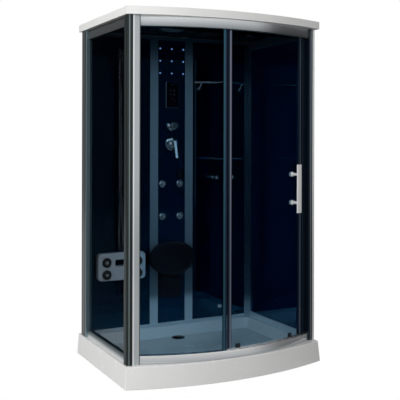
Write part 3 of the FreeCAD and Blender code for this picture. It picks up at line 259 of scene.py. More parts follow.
def fill(node: bpy.types.Node, **values: float | tuple) -> None:
    """Set a node's inputs; an underscore in a name stands for a space."""
    for name, value in values.items():
        node.inputs[name.replace("_", " ")].default_value = value


def darker(colour: Triple, share: float) -> Triple:
    """Colour scaled by a share."""
    return (colour[0] * share, colour[1] * share, colour[2] * share)


class Graph:
    """A node tree, with short ways to add and join nodes."""

    def __init__(self, tree: bpy.types.NodeTree) -> None:
        """Take a tree's nodes and links."""
        self.nodes = tree.nodes
        self.links = tree.links

    def add(self, kind: str, **values: float | tuple) -> bpy.types.Node:
        """Add a node of a kind and set its inputs."""
        node = self.nodes.new("ShaderNode" + kind)
        fill(node, **values)
        return node

    def link(self, value: Socket | float, into: Socket) -> None:
        """Join a socket to an input, or set the input to a number."""
        if isinstance(value, float):
            into.default_value = value
        else:
            self.links.new(value, into)

    def spread(self, source: Socket, here: Pair, there: Pair = UNIT) -> Socket:
        """Value that runs over the range there as the source runs over the range here."""
        ramp = self.add("MapRange", From_Min=here[0], From_Max=here[1], To_Min=there[0], To_Max=there[1])
        self.link(source, ramp.inputs["Value"])
        return ramp.outputs["Result"]

    def joined(self, kind: str, first: Socket, second: Socket | float) -> Socket:
        """A value joined with another value or a number by one operation."""
        node = self.add("Math")
        node.operation = kind
        self.link(first, node.inputs[0])
        self.link(second, node.inputs[1])
        return node.outputs[0]

    def ramp(self, source: Socket, stops: Sequence[tuple[float, Triple]]) -> Socket:
        """Colour that runs over stops of (place, colour), the first at 0 and the last at 1."""
        ramp = self.add("ValToRGB")
        marks = ramp.color_ramp.elements
        for place, colour in stops[1:-1]:
            marks.new(place).color = (*colour, 1.0)
        marks[0].color = (*stops[0][1], 1.0)
        marks[len(stops) - 1].color = (*stops[-1][1], 1.0)
        self.link(source, ramp.inputs["Fac"])
        return ramp.outputs["Color"]

    def either(self, test: Socket, plain: Socket, chosen: Socket) -> Socket:
        """Shader that is the chosen one where the test is one, and the plain one where it is nought."""
        mix = self.add("MixShader")
        for into, value in zip(mix.inputs, (test, plain, chosen)):
            self.link(value, into)
        return mix.outputs[0]

    def axes(self, place: str) -> list[Socket]:
        """X, Y and Z of one output of the texture coordinates."""
        split = self.add("SeparateXYZ")
        self.link(self.add("TexCoord").outputs[place], split.inputs[0])
        return list(split.outputs)


class Surface(Graph):
    """Nodes of a new material, round its principled shader."""

    def __init__(self, name: str) -> None:
        """Start a material."""
        self.material = bpy.data.materials.new(name + "_finish")
        self.material.use_nodes = True
        super().__init__(self.material.node_tree)
        self.shader = self.nodes["Principled BSDF"]
        self.place = self.add("TexCoord").outputs["Object"]

    def noise(self, scale: float, detail: float = 3.0, stretch: Triple = (1.0, 1.0, 1.0),
              rough: float = 0.5) -> Socket:
        """Noise over Object coordinates, stretched along each axis."""
        mapping = self.add("Mapping", Scale=stretch)
        self.link(self.place, mapping.inputs["Vector"])
        texture = self.add("TexNoise", Scale=scale, Detail=detail, Roughness=rough)
        self.link(mapping.outputs["Vector"], texture.inputs["Vector"])
        return texture.outputs["Fac"]

    def streaks(self, lines: Triple) -> Socket:
        """Fine lines, drawn out along the axis that has the smallest number."""
        return self.noise(1.0, stretch=lines, rough=0.6)

    def tint(self, source: Socket, first: Triple, second: Triple) -> None:
        """Colour the shader between two colours by a 0 to 1 value."""
        mix = self.add("Mix")
        mix.data_type = "RGBA"
        fill(mix, A=(*first, 1.0), B=(*second, 1.0))
        self.link(source, mix.inputs["Factor"])
        self.link(mix.outputs["Result"], self.shader.inputs["Base Color"])

    def clouds(self, low: Triple, high: Triple, scale: float, detail: float) -> None:
        """Colour the shader between two colours in soft clouds."""
        self.tint(self.spread(self.noise(scale, detail), NOISE_RANGE), low, high)

    def dull(self, low: float, high: float, scale: float, detail: float) -> None:
        """Let the shader's roughness wander between two values."""
        rough = self.spread(self.noise(scale, detail), NOISE_RANGE, (low, high))
        self.link(rough, self.shader.inputs["Roughness"])

    def bump(self, height: Socket, strength: float, distance: float) -> None:
        """Bump the shader's normal by a height."""
        bump = self.add("Bump", Strength=strength, Distance=distance)
        self.link(height, bump.inputs["Height"])
        self.link(bump.outputs["Normal"], self.shader.inputs["Normal"])


# ---------- finishes
UPRIGHT: Triple = (400.0, 400.0, 2.0)
ALL_WAYS: Triple = (8.0, 8.0, 8.0)


class Recipe:
    """How a material is made; each kind of finish paints its own."""

    name: str

    def paint(self, tree: Surface) -> None:
        """Set up the material's shader and textures."""
        raise NotImplementedError

    def material(self) -> bpy.types.Material:
        """The material, made once."""
        made = bpy.data.materials.get(self.name + "_finish")
        if made is None:
            tree = Surface(self.name)
            self.paint(tree)
            made = tree.material
        return made


@dataclass(frozen=True)
class Acrylic(Recipe):
    """Glossy moulded acrylic with faint mottling and small dull spots."""

    name: str = "white_acrylic"
    colour: Triple = (0.8, 0.8, 0.79)
    rough: float = 0.16
    spots: float = 0.12
    coat: float = 0.25

    def paint(self, tree: Surface) -> None:
        """Paint the material."""
        tree.clouds(darker(self.colour, 0.965), self.colour, scale=3.0, detail=4.0)
        tree.dull(self.rough, self.rough + self.spots, scale=14.0, detail=5.0)
        fill(tree.shader, Coat_Weight=self.coat, Coat_Roughness=0.08, IOR=1.46)
        tree.bump(tree.noise(160.0, 2.0), strength=0.05, distance=0.0006)


@dataclass(frozen=True)
class Metal(Recipe):
    """Drawn or plated metal: long fine lines along one axis, with soft clouds of tone."""

    name: str
    colour: Triple
    rough: float = 0.22
    lines: Triple = UPRIGHT
    contrast: float = 0.93
    grain: float = 0.03
    metallic: float = 1.0

    def paint(self, tree: Surface) -> None:
        """Paint the material."""
        streak = tree.streaks(self.lines)
        tree.tint(tree.spread(streak, NOISE_RANGE), darker(self.colour, self.contrast), self.colour)
        tree.dull(self.rough * 0.85, self.rough * 1.15, scale=7.0, detail=4.0)
        fill(tree.shader, Metallic=self.metallic)
        tree.bump(streak, self.grain, distance=0.0002)


@dataclass(frozen=True)
class PaintedLightBands(Recipe):
    """Metal whose faces carry bands of painted reflection, painted highlight and painted shade across one
    axis, standing in for what they mirror and how light falls on them, with fine draw lines.

    Each band is (place in millimetres along the axis, colour); between two bands the tone runs over.
    """

    name: str
    axis: Axis
    bands: tuple[tuple[float, Triple], ...]
    rough: float = 0.3
    lines: Triple = UPRIGHT
    metallic: float = 0.75
    contrast: float = 0.93

    def paint(self, tree: Surface) -> None:
        """Paint the material: a colour ramp of painted reflection and shade over one Object coordinate,
        times draw lines.
        """
        low, high = self.bands[0][0], self.bands[-1][0]
        along = tree.spread(tree.axes("Object")[self.axis], (low / 1000.0, high / 1000.0))
        colour = tree.ramp(along, [((place - low) / (high - low), tone) for place, tone in self.bands])
        streak = tree.streaks(self.lines)
        mix = tree.add("Mix")
        mix.data_type = "RGBA"
        mix.blend_type = "MULTIPLY"
        fill(mix, Factor=1.0)
        tree.link(colour, mix.inputs["A"])
        tree.link(tree.spread(streak, NOISE_RANGE, (self.contrast, 1.0)), mix.inputs["B"])
        tree.link(mix.outputs["Result"], tree.shader.inputs["Base Color"])
        fill(tree.shader, Metallic=self.metallic, Roughness=self.rough)
        tree.bump(streak, strength=0.03, distance=0.0002)


@dataclass(frozen=True)
class TintedPane(Recipe):
    """Tinted clear glass: its colour deepens a little in slow clouds."""

    name: str
    colour: Triple
    index: float
    rough: float = 0.0

    def paint(self, tree: Surface) -> None:
        """Paint the material."""
        tree.clouds(darker(self.colour, 0.95), self.colour, scale=1.4, detail=2.0)
        fill(tree.shader, Transmission_Weight=1.0, IOR=self.index, Roughness=self.rough)


@dataclass(frozen=True)
class DarkGlass(Recipe):
    """Glass painted on its back: deep navy under a polished face that mirrors blue."""

    name: str
    low: Triple
    high: Triple
    index: float
    mirrored: Triple = (0.1, 0.62, 1.0)

    def paint(self, tree: Surface) -> None:
        """Paint the material."""
        tree.clouds(self.low, self.high, scale=1.1, detail=3.0)
        tree.dull(0.015, 0.05, scale=5.0, detail=5.0)
        fill(tree.shader, IOR=self.index, Specular_Tint=(*self.mirrored, 1.0))
        tree.bump(tree.noise(2.2, 1.0), strength=0.01, distance=0.0006)


@dataclass(frozen=True)
class Moulded(Recipe):
    """Moulded plastic or rubber with a fine grain."""

    name: str
    colour: Triple
    rough: float
    grain: float = 0.12
    scale: float = 420.0
    index: float = 1.45

    def paint(self, tree: Surface) -> None:
        """Paint the material."""
        tree.clouds(darker(self.colour, 0.85), self.colour, scale=6.0, detail=4.0)
        tree.dull(self.rough * 0.85, self.rough * 1.2, scale=11.0, detail=4.0)
        fill(tree.shader, IOR=self.index)
        tree.bump(tree.noise(self.scale, 3.0), self.grain, distance=0.0005)


@dataclass(frozen=True)
class Glow(Recipe):
    """Lens with a faint light of its own."""

    name: str
    colour: Triple
    light: Triple
    strength: float

    def paint(self, tree: Surface) -> None:
        """Paint the material."""
        tree.clouds(darker(self.colour, 0.85), self.colour, scale=120.0, detail=2.0)
        fill(tree.shader, Roughness=0.22, Emission_Color=(*self.light, 1.0), Emission_Strength=self.strength)
        tree.bump(tree.noise(300.0, 2.0), strength=0.1, distance=0.0005)


@dataclass(frozen=True)
class HoseMetal(Recipe):
    """Wound metal hose: rings along the piece's own length map, one ring to each unit of U, with painted
    shade in the grooves; its colour is chrome darkened to stand in for the dark surroundings it mirrors, a
    painted dark reflection.
    """

    name: str = "hose_metal"
    colour: Triple = (0.22, 0.24, 0.27)
    groove_shade: float = 0.45
    one_ring: float = math.pi / 10.0

    def paint(self, tree: Surface) -> None:
        """Paint the material: height is a sine along U, and the same sine darkens the grooves as painted
        shade.
        """
        wave = tree.add("TexWave", Scale=self.one_ring)
        wave.wave_profile = "SIN"
        wave.bands_direction = "X"
        tree.link(tree.add("TexCoord").outputs["UV"], wave.inputs["Vector"])
        tree.tint(wave.outputs["Fac"], darker(self.colour, self.groove_shade), self.colour)
        fill(tree.shader, Metallic=1.0, Roughness=0.2)
        tree.bump(wave.outputs["Fac"], strength=0.6, distance=0.001)


class Finish(Enum):
    """Finishes of the cabin; the value holds how each is made."""

    ACRYLIC = Acrylic()
    # Posts: the bands across each post are painted reflections, painted dark on the sides and painted as
    # highlights on the fronts.
    POST_LEFT = PaintedLightBands("front_post", Axis.X, (
        (-639, (0.01, 0.018, 0.018)), (-631, (0.01, 0.018, 0.018)), (-627.5, (0.22, 0.26, 0.26)),
        (-624, (0.01, 0.018, 0.018)), (-610, (0.014, 0.022, 0.022)), (-606.5, (0.98, 0.98, 0.98)),
        (-602.5, (0.95, 0.96, 0.97)), (-598, (0.48, 0.52, 0.55)), (-571, (0.52, 0.55, 0.57)),
        (-568, (0.1, 0.12, 0.12)), (-559, (0.05, 0.06, 0.06))), rough=0.24, metallic=0.5)
    POST_RIGHT = PaintedLightBands("lock_post", Axis.X, (
        (594, (0.01, 0.02, 0.035)), (610, (0.012, 0.024, 0.04)), (613.5, (0.3, 0.33, 0.36)),
        (617, (0.02, 0.03, 0.04)), (624.5, (0.05, 0.045, 0.05)), (627.5, (0.85, 0.87, 0.88)),
        (636, (0.6, 0.63, 0.65))), rough=0.24, metallic=0.5)
    POST_BACK = PaintedLightBands("back_post", Axis.Y, (
        (374, (0.2, 0.3, 0.34)), (380, (0.3, 0.38, 0.42)), (385, (0.008, 0.01, 0.012)),
        (396, (0.012, 0.016, 0.018)), (402, (0.1, 0.11, 0.115)), (430, (0.12, 0.13, 0.135)),
        (436, (0.24, 0.25, 0.26)), (442, (0.02, 0.03, 0.03)), (460, (0.015, 0.025, 0.03))))
    # Rails: the bands over height are painted highlights, painted reflections and painted shade.
    RAIL_LOW = PaintedLightBands("bottom_rail", Axis.Z, (
        (130, (0.3, 0.32, 0.33)), (136, (0.62, 0.65, 0.67)), (150, (0.78, 0.82, 0.84)),
        (163, (0.86, 0.88, 0.9)), (168, (0.98, 0.98, 0.98)), (178, (0.9, 0.92, 0.94)),
        (186, (0.5, 0.53, 0.56))), rough=0.14, lines=(2.0, 2.0, 300.0), metallic=0.96)
    RAIL_SIDE = PaintedLightBands("side_rail", Axis.Z, (
        (130, (0.78, 0.8, 0.81)), (146, (0.62, 0.64, 0.65)), (152, (0.3, 0.33, 0.34)),
        (163, (0.1, 0.13, 0.14)), (168, (0.05, 0.08, 0.09)), (2000, (0.04, 0.05, 0.055)),
        (2046, (0.06, 0.07, 0.075)), (2090, (0.09, 0.1, 0.105)), (2097, (0.02, 0.02, 0.02)),
        (2105, (0.02, 0.02, 0.02))), lines=(300.0, 2.0, 300.0), metallic=0.6)
    RAIL_TOP = PaintedLightBands("top_rail", Axis.Z, (
        (2041, (0.2, 0.23, 0.25)), (2060, (0.38, 0.41, 0.43)), (2085, (0.62, 0.65, 0.67)),
        (2107, (0.8, 0.82, 0.83))), rough=0.18, lines=(2.0, 2.0, 300.0), metallic=0.85)
    # Wall profiles: the bands over height are painted reflection of the tray low down and painted shade
    # under the roof.
    PROFILE = PaintedLightBands("wall_profile", Axis.Z, (
        (150, (0.72, 0.8, 0.84)), (290, (0.66, 0.74, 0.79)), (350, (0.16, 0.22, 0.26)),
        (520, (0.11, 0.15, 0.18)), (720, (0.22, 0.28, 0.32)), (1300, (0.34, 0.41, 0.46)),
        (1850, (0.38, 0.45, 0.5)), (2010, (0.08, 0.12, 0.15)), (2100, (0.02, 0.04, 0.05))),
        rough=0.34, metallic=0.35)
    CORNER = PaintedLightBands("corner_profile", Axis.Z, (
        (150, (0.5, 0.6, 0.66)), (230, (0.36, 0.46, 0.52)), (290, (0.07, 0.11, 0.15)),
        (720, (0.03, 0.055, 0.085)), (1300, (0.05, 0.09, 0.125)), (1760, (0.08, 0.14, 0.18)),
        (1900, (0.03, 0.055, 0.08)), (2100, (0.01, 0.02, 0.03))), rough=0.34, metallic=0.35)
    # Seal strips: the teal bands are painted reflections and the thin light lines painted glints.
    STRIP_LEFT = PaintedLightBands("meeting_strip", Axis.X, (
        (-80, (0.02, 0.08, 0.11)), (-71, (0.03, 0.11, 0.15)), (-67, (0.01, 0.02, 0.05)),
        (-57, (0.01, 0.02, 0.05))))
    STRIP_DOOR = PaintedLightBands("door_strip", Axis.X, (
        (-50, (0.006, 0.012, 0.03)), (-34, (0.01, 0.018, 0.04)), (-31, (0.22, 0.25, 0.32)),
        (-26, (0.18, 0.2, 0.27)), (-22, (0.01, 0.018, 0.04)), (500, (0.01, 0.02, 0.05)),
        (535, (0.02, 0.04, 0.08)), (540, (0.45, 0.55, 0.65)), (545, (0.02, 0.04, 0.08)),
        (560, (0.01, 0.02, 0.05))))
    # Drain: dark at the bottom and bright at the top, which is painted shade and painted highlight.
    DRAIN = PaintedLightBands("drain_chrome", Axis.Z, (
        (81, (0.02, 0.02, 0.025)), (84, (0.1, 0.11, 0.12)), (87, (0.34, 0.36, 0.38)),
        (94, (0.55, 0.57, 0.6))), rough=0.18, lines=ALL_WAYS, metallic=0.6)
    SATIN = Metal("satin_chrome", (0.9, 0.88, 0.88), rough=0.35, lines=(300.0, 300.0, 2.0), contrast=0.95,
                  grain=0.01, metallic=0.15)
    FITTING = Metal("fitting_chrome", (0.86, 0.89, 0.92), rough=0.08, lines=ALL_WAYS, contrast=0.94,
                    grain=0.008, metallic=0.97)
    # Chrome darkened to stand in for the dark surroundings that it mirrors: painted dark reflection.
    CHROME_PAINTED_DARK = Metal("chrome_painted_dark", (0.16, 0.18, 0.2), rough=0.1, lines=ALL_WAYS, contrast=0.94, grain=0.008)
    STEEL = Metal("zinc_steel", (0.42, 0.43, 0.44), rough=0.42, lines=(4.0, 4.0, 4.0), contrast=0.7,
                  grain=0.12)
    PANE = TintedPane("tinted_glass", (0.38, 0.51, 0.6), index=1.012)
    PANE_LEFT = TintedPane("smoked_glass", (0.42, 0.44, 0.46), index=1.012)
    CLEAR = TintedPane("clear_acrylic", (0.86, 0.93, 0.96), index=1.3, rough=0.02)
    # Three copies of one back-painted glass at different darkness; the back panels' copy is darkest for the
    # shade they sit in, which is painted shade.
    WALL = DarkGlass("back_glass", (0.0001, 0.003, 0.024), (0.0003, 0.005, 0.036), index=2.3)
    WALL_BACK_SHADED = DarkGlass("back_wall_glass_shaded", (0.0001, 0.0004, 0.008), (0.0001, 0.0008, 0.014), index=2.1)
    COLUMN = DarkGlass("column_glass", (0.0001, 0.0018, 0.018), (0.0002, 0.003, 0.026), index=2.1)
    # Dark sheet that stands in for the shade under the white roof: painted shade.
    CEILING = Moulded("ceiling_shade_sheet", (0.004, 0.022, 0.034), rough=0.2, grain=0.02, scale=200.0)
    BLACK = Moulded("black_gloss", (0.006, 0.007, 0.012), rough=0.14, grain=0.03, scale=300.0)
    BLACK_MATTE = Moulded("black_matte", (0.02, 0.02, 0.023), rough=0.5)
    GREY = Moulded("grey_moulding", (0.34, 0.36, 0.38), rough=0.32)
    MASSAGER = Moulded("massager_grey", (0.56, 0.6, 0.64), rough=0.4, grain=0.06)
    WHITE = Moulded("white_moulding", (0.7, 0.7, 0.69), rough=0.4)
    SCREEN = Moulded("screen_glass", (0.001, 0.002, 0.007), rough=0.05, grain=0.01, scale=60.0, index=1.3)
    LENS_BLUE = Glow("blue_lens", (0.35, 0.5, 0.75), light=(0.42, 0.6, 1.0), strength=0.75)
    LENS_WHITE = Glow("white_lens", (0.05, 0.09, 0.12), light=(0.8, 0.9, 1.0), strength=0.01)
    MARK_RED = Glow("red_mark", (0.1, 0.012, 0.012), light=(1.0, 0.05, 0.08), strength=0.02)
    MARK_GREY = Glow("grey_mark", (0.035, 0.045, 0.055), light=(0.4, 0.5, 0.6), strength=0.004)
    HOSE = HoseMetal()

    def material(self) -> bpy.types.Material:
        """The finish's material."""
        return self.value.material()


def dress(piece: Piece, finish: Finish) -> None:
    """Give a piece one finish."""
    piece.data.materials.clear()
    piece.data.materials.append(finish.material())


def dress_solid(name: str, finish: Finish) -> None:
    """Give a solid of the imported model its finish, with its mesh left as it is."""
    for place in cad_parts[name].material_slots:
        place.link = "OBJECT"
        place.material = finish.material()
    log.info("dressed %s", name)


def fit(piece: Piece, finish: Finish, slot: str, body: str = "cabin",
        replaces: Sequence[str] = ()) -> None:
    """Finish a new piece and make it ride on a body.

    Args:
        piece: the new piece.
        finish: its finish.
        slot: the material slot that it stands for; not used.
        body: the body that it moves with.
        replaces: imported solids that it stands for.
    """
    dress(piece, finish)
    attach(piece, body)
    if replaces:
        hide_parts(*replaces)
    log.info("made %s on %s, %d points", piece.name, body, len(piece.data.vertices))


# ---------- sub-assemblies
BODIES: dict[str, str] = {
    "door_strips": "door", "door_handle": "door", "roller_carriers": "door", "wheel_left": "top_wheel_left",
    "wheel_right": "top_wheel_right", "mixer_cap": "tap_cap", "mixer_lever": "tap_lever",
    "diverter_knob": "diverter", "jet_nozzle_1": "nozzle_high_left", "jet_nozzle_2": "nozzle_high_right",
    "jet_nozzle_3": "nozzle_low_left", "jet_nozzle_4": "nozzle_low_right", "slider": "rail_slider",
    "handset": "hand_shower", "fan_wheel": "fan", "rain_head": "rain_shower"}


@dataclass
class Carcass:
    """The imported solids: panes and pipes keep their own mesh, the rest become copies with rounded edges.

    A rounded group is (finish, slot, width of the rounding, names).
    """

    plain: tuple[tuple[Finish, tuple[str, ...]], ...] = (
        (Finish.PANE, ("glass_front", "door_glass")),
        (Finish.PANE_LEFT, ("glass_left",)),
        (Finish.WALL_BACK_SHADED, ("back_panel_left", "back_panel_right")),
        (Finish.WALL, ("side_panel_right",)),
        (Finish.COLUMN, ("column_panel",)),
        (Finish.WHITE, ("pipes",)),
    )
    rounded: tuple[tuple[Finish, str, float, tuple[str, ...]], ...] = (
        (Finish.ACRYLIC, "white_acrylic", 0.004, ("tray", "roof")),
        (Finish.POST_LEFT, "aluminium_frame", 0.0012, ("post_front_left",)),
        (Finish.POST_RIGHT, "aluminium_frame", 0.0012, ("post_front_right",)),
        (Finish.POST_BACK, "aluminium_frame", 0.0012, ("post_back_left",)),
        (Finish.RAIL_LOW, "aluminium_frame", 0.0015, ("rail_bottom_front",)),
        (Finish.RAIL_TOP, "aluminium_frame", 0.0015, ("rail_top_front",)),
        (Finish.RAIL_SIDE, "aluminium_frame", 0.0015, ("rails_left",)),
        (Finish.CORNER, "dark_profile", 0.001, ("post_back_right",)),
        (Finish.PROFILE, "dark_profile", 0.001, ("wall_profiles",)),
        (Finish.STRIP_LEFT, "seal_grey", 0.0006, ("glass_seal",)),
        (Finish.STRIP_DOOR, "seal_grey", 0.0006, ("door_strips",)),
        (Finish.FITTING, "chrome", 0.0012, (
            "diverter_valve", "diverter_knob", "mixer_valve", "mixer_cap",
            "mixer_lever", "jet_bodies", "towel_rail", "shelf_rail",
            "steam_outlet", "rain_head", "rain_arm")),
        (Finish.SATIN, "chrome", 0.0012, ("door_handle",)),
        (Finish.DRAIN, "chrome", 0.0012, ("drain_cover",)),
        (Finish.CHROME_PAINTED_DARK, "chrome", 0.0012, ("riser_rail", "slider")),
        (Finish.CLEAR, "clear_acrylic", 0.001, ("shelf",)),
        (Finish.BLACK, "black_plastic", 0.002, ("seat_bracket", "robe_hook", "handset")),
        (Finish.BLACK_MATTE, "matte_black", 0.001, ("fan_unit", "fan_wheel", "speaker", "roller_carriers")),
        (Finish.GREY, "grey_plastic", 0.0008, (
            "wheel_left", "wheel_right", "jet_nozzle_1", "jet_nozzle_2", "jet_nozzle_3", "jet_nozzle_4")),
        (Finish.STEEL, "steel_frame", 0.001, ("tray_frame",)),
        (Finish.STEEL, "steel_frame", 0.004, ("steam_generator",)),
        (Finish.WHITE, "white_plastic", 0.003, ("waste_trap", "control_box")),
        (Finish.LENS_WHITE, "lamp_white", 0.002, ("ceiling_lamp",)),
    )

    def build(self) -> None:
        """Dress the plain solids and put softened copies in place of the others."""
        for finish, names in self.plain:
            for name in names:
                dress_solid(name, finish)
        for finish, slot, width, names in self.rounded:
            for name in names:
                fit(softened(name, width), finish, slot, BODIES.get(name, "cabin"), (name,))


@dataclass
class Ceiling:
    """Dark sheet under the roof's flat ceiling that stands in for the shade there, which is painted shade,
    with a thin skirt down its rim.
    """

    level: float = 2.112
    gap: float = 0.0001
    thick: float = 0.001
    deep: float = 0.0066
    skirt: float = 0.0008
    half_wide: float = 0.6007
    back: float = 0.4352
    bow_middle: float = 0.9075
    bow_radius: float = 1.3356
    bow_points: int = 48

    def outline(self, inset: float, drop: float) -> np.ndarray:
        """The bow from left to right, then the back corners, moved in by the inset, down by the drop."""
        side = self.half_wide - inset
        across = np.linspace(-side, side, self.bow_points)
        front = self.bow_middle - np.sqrt((self.bow_radius - inset) ** 2 - across ** 2)
        corners = [[side, self.back - inset], [-side, self.back - inset]]
        flat = np.vstack([np.column_stack([across, front]), corners])
        return np.column_stack([flat, np.full(len(flat), self.level - drop)])

    def build(self) -> None:
        """Stack the outline downwards: skirt outside, skirt inside, then the shade sheet's flat middle."""
        steps = ((0.0, self.gap), (0.0, self.deep), (self.skirt, self.deep), (self.skirt, self.thick))
        rings = np.array([self.outline(inset, drop) for inset, drop in steps])
        fit(rings_joined("ceiling_shade_sheet", rings, smooth=False), Finish.CEILING, "matte_black")


@dataclass
class Column:
    """Lamps and control panel on the middle column.

    Profiles are (radius, height) in millimetres, levels (inset, depth), and the size of a slab (width,
    height, corner radius).
    """

    across: float = -0.004
    lamp_side: float = 0.087
    lamp_heights: tuple[float, ...] = (2.026, 1.942, 1.858)
    ring: tuple[Pair, ...] = (
        (5, 0), (10.5, 0), (10.5, 1.2), (9.5, 2.6), (7, 3), (5.6, 2.2), (5.5, 0.8), (0.4, 0.8))
    lens: tuple[Pair, ...] = (
        (5.2, 0.6), (5.2, 2.6), (4.6, 3.8), (3.2, 4.6), (1.6, 5), (0.2, 5.1))
    panel_middle: float = 1.71
    panel_deep: float = 0.011
    lip: Triple = (0.088, 0.179, 0.007)
    lip_levels: tuple[Pair, ...] = ((0, 0), (0, 0.72), (0.0008, 0.8), (0.004, 0.8))
    face: Triple = (0.0856, 0.1766, 0.006)
    face_levels: tuple[Pair, ...] = ((0, 0.5), (0, 0.92), (0.0009, 1.0), (0.02, 1.0))
    key: Triple = (0.013, 0.011, 0.003)
    key_levels: tuple[Pair, ...] = ((0, -0.0004), (0, 0.0002), (0.0006, 0.0005), (0.003, 0.0006))
    keys: tuple[Pair, ...] = ((-0.0135, 0.031), (0.0135, 0.031), (-0.0135, 0.003), (0.0135, 0.003))
    bar: Triple = (0.016, 0.0045, 0.002)
    bar_levels: tuple[Pair, ...] = ((0, -0.0004), (0, 0.0002), (0.0004, 0.0004))
    bar_rise: float = 0.074
    arrows: tuple[Triple, ...] = (
        (0.0, -0.022, 90.0), (-0.022, -0.042, 180.0), (0.022, -0.042, 0.0), (0.0, -0.062, -90.0))
    arrow_reach: float = 0.0062
    arrow_corners: Triple = (0.0, 130.0, 230.0)
    arrow_levels: tuple[Pair, ...] = ((1.0, -0.0003), (1.0, 0.0003), (0.8, 0.0006))

    def lamps(self) -> None:
        """Nine small lamps: a chrome ring round a domed blue lens."""
        rings, lenses = [], []
        for side, height in product((-1, 0, 1), self.lamp_heights):
            place = (self.across + side * self.lamp_side, WALL_Y, height)
            rings.append(turned("ring", self.ring, place, FORWARD, 32))
            lenses.append(turned("lens", self.lens, place, FORWARD, 28))
        fit(merged("lamp_rings", rings), Finish.CHROME_PAINTED_DARK, "chrome", "cabin", ("led_lamps",))
        fit(merged("lamp_lenses", lenses), Finish.LENS_BLUE, "lamp_blue", "cabin", ("led_lamps",))

    def slab(self, name: str, size: Triple, levels: Sequence[Pair], finish: Finish) -> None:
        """Slab of the control panel; its levels are (inset, share of the panel's depth)."""
        place = (self.across, WALL_Y, self.panel_middle)
        depths = [(inset, self.panel_deep * share) for inset, share in levels]
        fit(wall_slab(name, place, size, depths), finish, "black_plastic", "cabin", ("control_panel",))

    def arrow(self, x: float, z: float, turn: float) -> Piece:
        """Flat triangle on the panel's face that points in the direction of its turn in degrees."""
        angle = np.radians(turn + np.array(self.arrow_corners))
        flat = np.stack([np.cos(angle), np.sin(angle)], -1) * self.arrow_reach
        scale, lift = np.array(self.arrow_levels).T[..., None]
        rings = np.stack([self.across + x + flat[:, 0] * scale,
                          WALL_Y - self.panel_deep - lift + 0 * flat[:, 0],
                          self.panel_middle + z + flat[:, 1] * scale], -1)
        return rings_joined("arrow", rings, smooth=False)

    def panel(self) -> None:
        """Control panel: light lip, black face, keys and arrows."""
        # The lip takes the wall profiles' bands of painted reflection and painted shade.
        self.slab("panel_lip", self.lip, self.lip_levels, Finish.PROFILE)
        self.slab("panel_face", self.face, self.face_levels, Finish.SCREEN)
        front = WALL_Y - self.panel_deep
        keys = [wall_slab("key", (self.across + x, front, self.panel_middle + z), self.key, self.key_levels)
                for x, z in self.keys]
        top = (self.across, front, self.panel_middle + self.bar_rise)
        keys.append(wall_slab("key", top, self.bar, self.bar_levels))
        fit(merged("panel_keys", keys), Finish.MARK_GREY, "lamp_blue")
        marks = [self.arrow(*arrow) for arrow in self.arrows]
        fit(merged("panel_arrows", marks), Finish.MARK_RED, "lamp_blue")

    def build(self) -> None:
        """Make the column's fittings."""
        self.lamps()
        self.panel()


@dataclass
class Seat:
    """Folding oval seat that stands up against the column, with two lugs on its hinge.

    A level is (share of the oval, depth), the eye's profile (radius, place along the hinge) in millimetres.
    """

    across: float = -0.017
    middle: float = 0.598
    half_wide: float = 0.167
    half_tall: float = 0.1175
    back: float = 0.4225
    levels: tuple[Pair, ...] = (
        (0.5, 0.0), (0.9, 0.0), (0.965, 0.003), (0.995, 0.01), (1.0, 0.022), (0.998, 0.034),
        (0.985, 0.043), (0.96, 0.0485), (0.925, 0.05), (0.895, 0.049), (0.875, 0.0462), (0.85, 0.0452),
        (0.78, 0.0462), (0.6, 0.048), (0.35, 0.049), (0.02, 0.0494))
    hinge: Pair = (0.4005, 0.448)
    lug_side: float = 0.055
    eye: tuple[Pair, ...] = (
        (6.1, -12), (12.5, -12), (13.8, -10.5), (13.8, 10.5), (12.5, 12), (6.1, 12))
    arm: Triple = (0.024, 0.06, 0.005)
    arm_levels: tuple[Pair, ...] = ((0.001, -0.0118), (0, -0.0108), (0, 0.0108), (0.001, 0.0118))
    arm_rise: float = 0.032

    def cushion(self) -> Piece:
        """Oval rings stacked forward: x = share * half_wide * cos a, z = share * half_tall * sin a."""
        share, depth = np.array(self.levels).T[..., None]
        shape = circle(96) * (self.half_wide, self.half_tall)
        rings = np.stack([self.across + share * shape[:, 0], self.back - depth + 0 * shape[:, 0],
                          self.middle + share * shape[:, 1]], -1)
        return rings_joined("seat_cushion", rings)

    def build(self) -> None:
        """Make the seat, and for each lug an eye round the hinge with an arm above it."""
        fit(self.cushion(), Finish.BLACK, "black_plastic", "folding_seat", ("seat",))
        lugs = []
        for side in (-self.lug_side, self.lug_side):
            place = (self.across + side, *self.hinge)
            lugs.append(turned("eye", self.eye, place, RIGHT, 40))
            root = (place[0], place[1], place[2] + self.arm_rise)
            lugs.append(wall_slab("arm", root, self.arm, self.arm_levels))
        fit(merged("seat_lugs", lugs), Finish.BLACK, "black_plastic", "folding_seat", ("seat",))


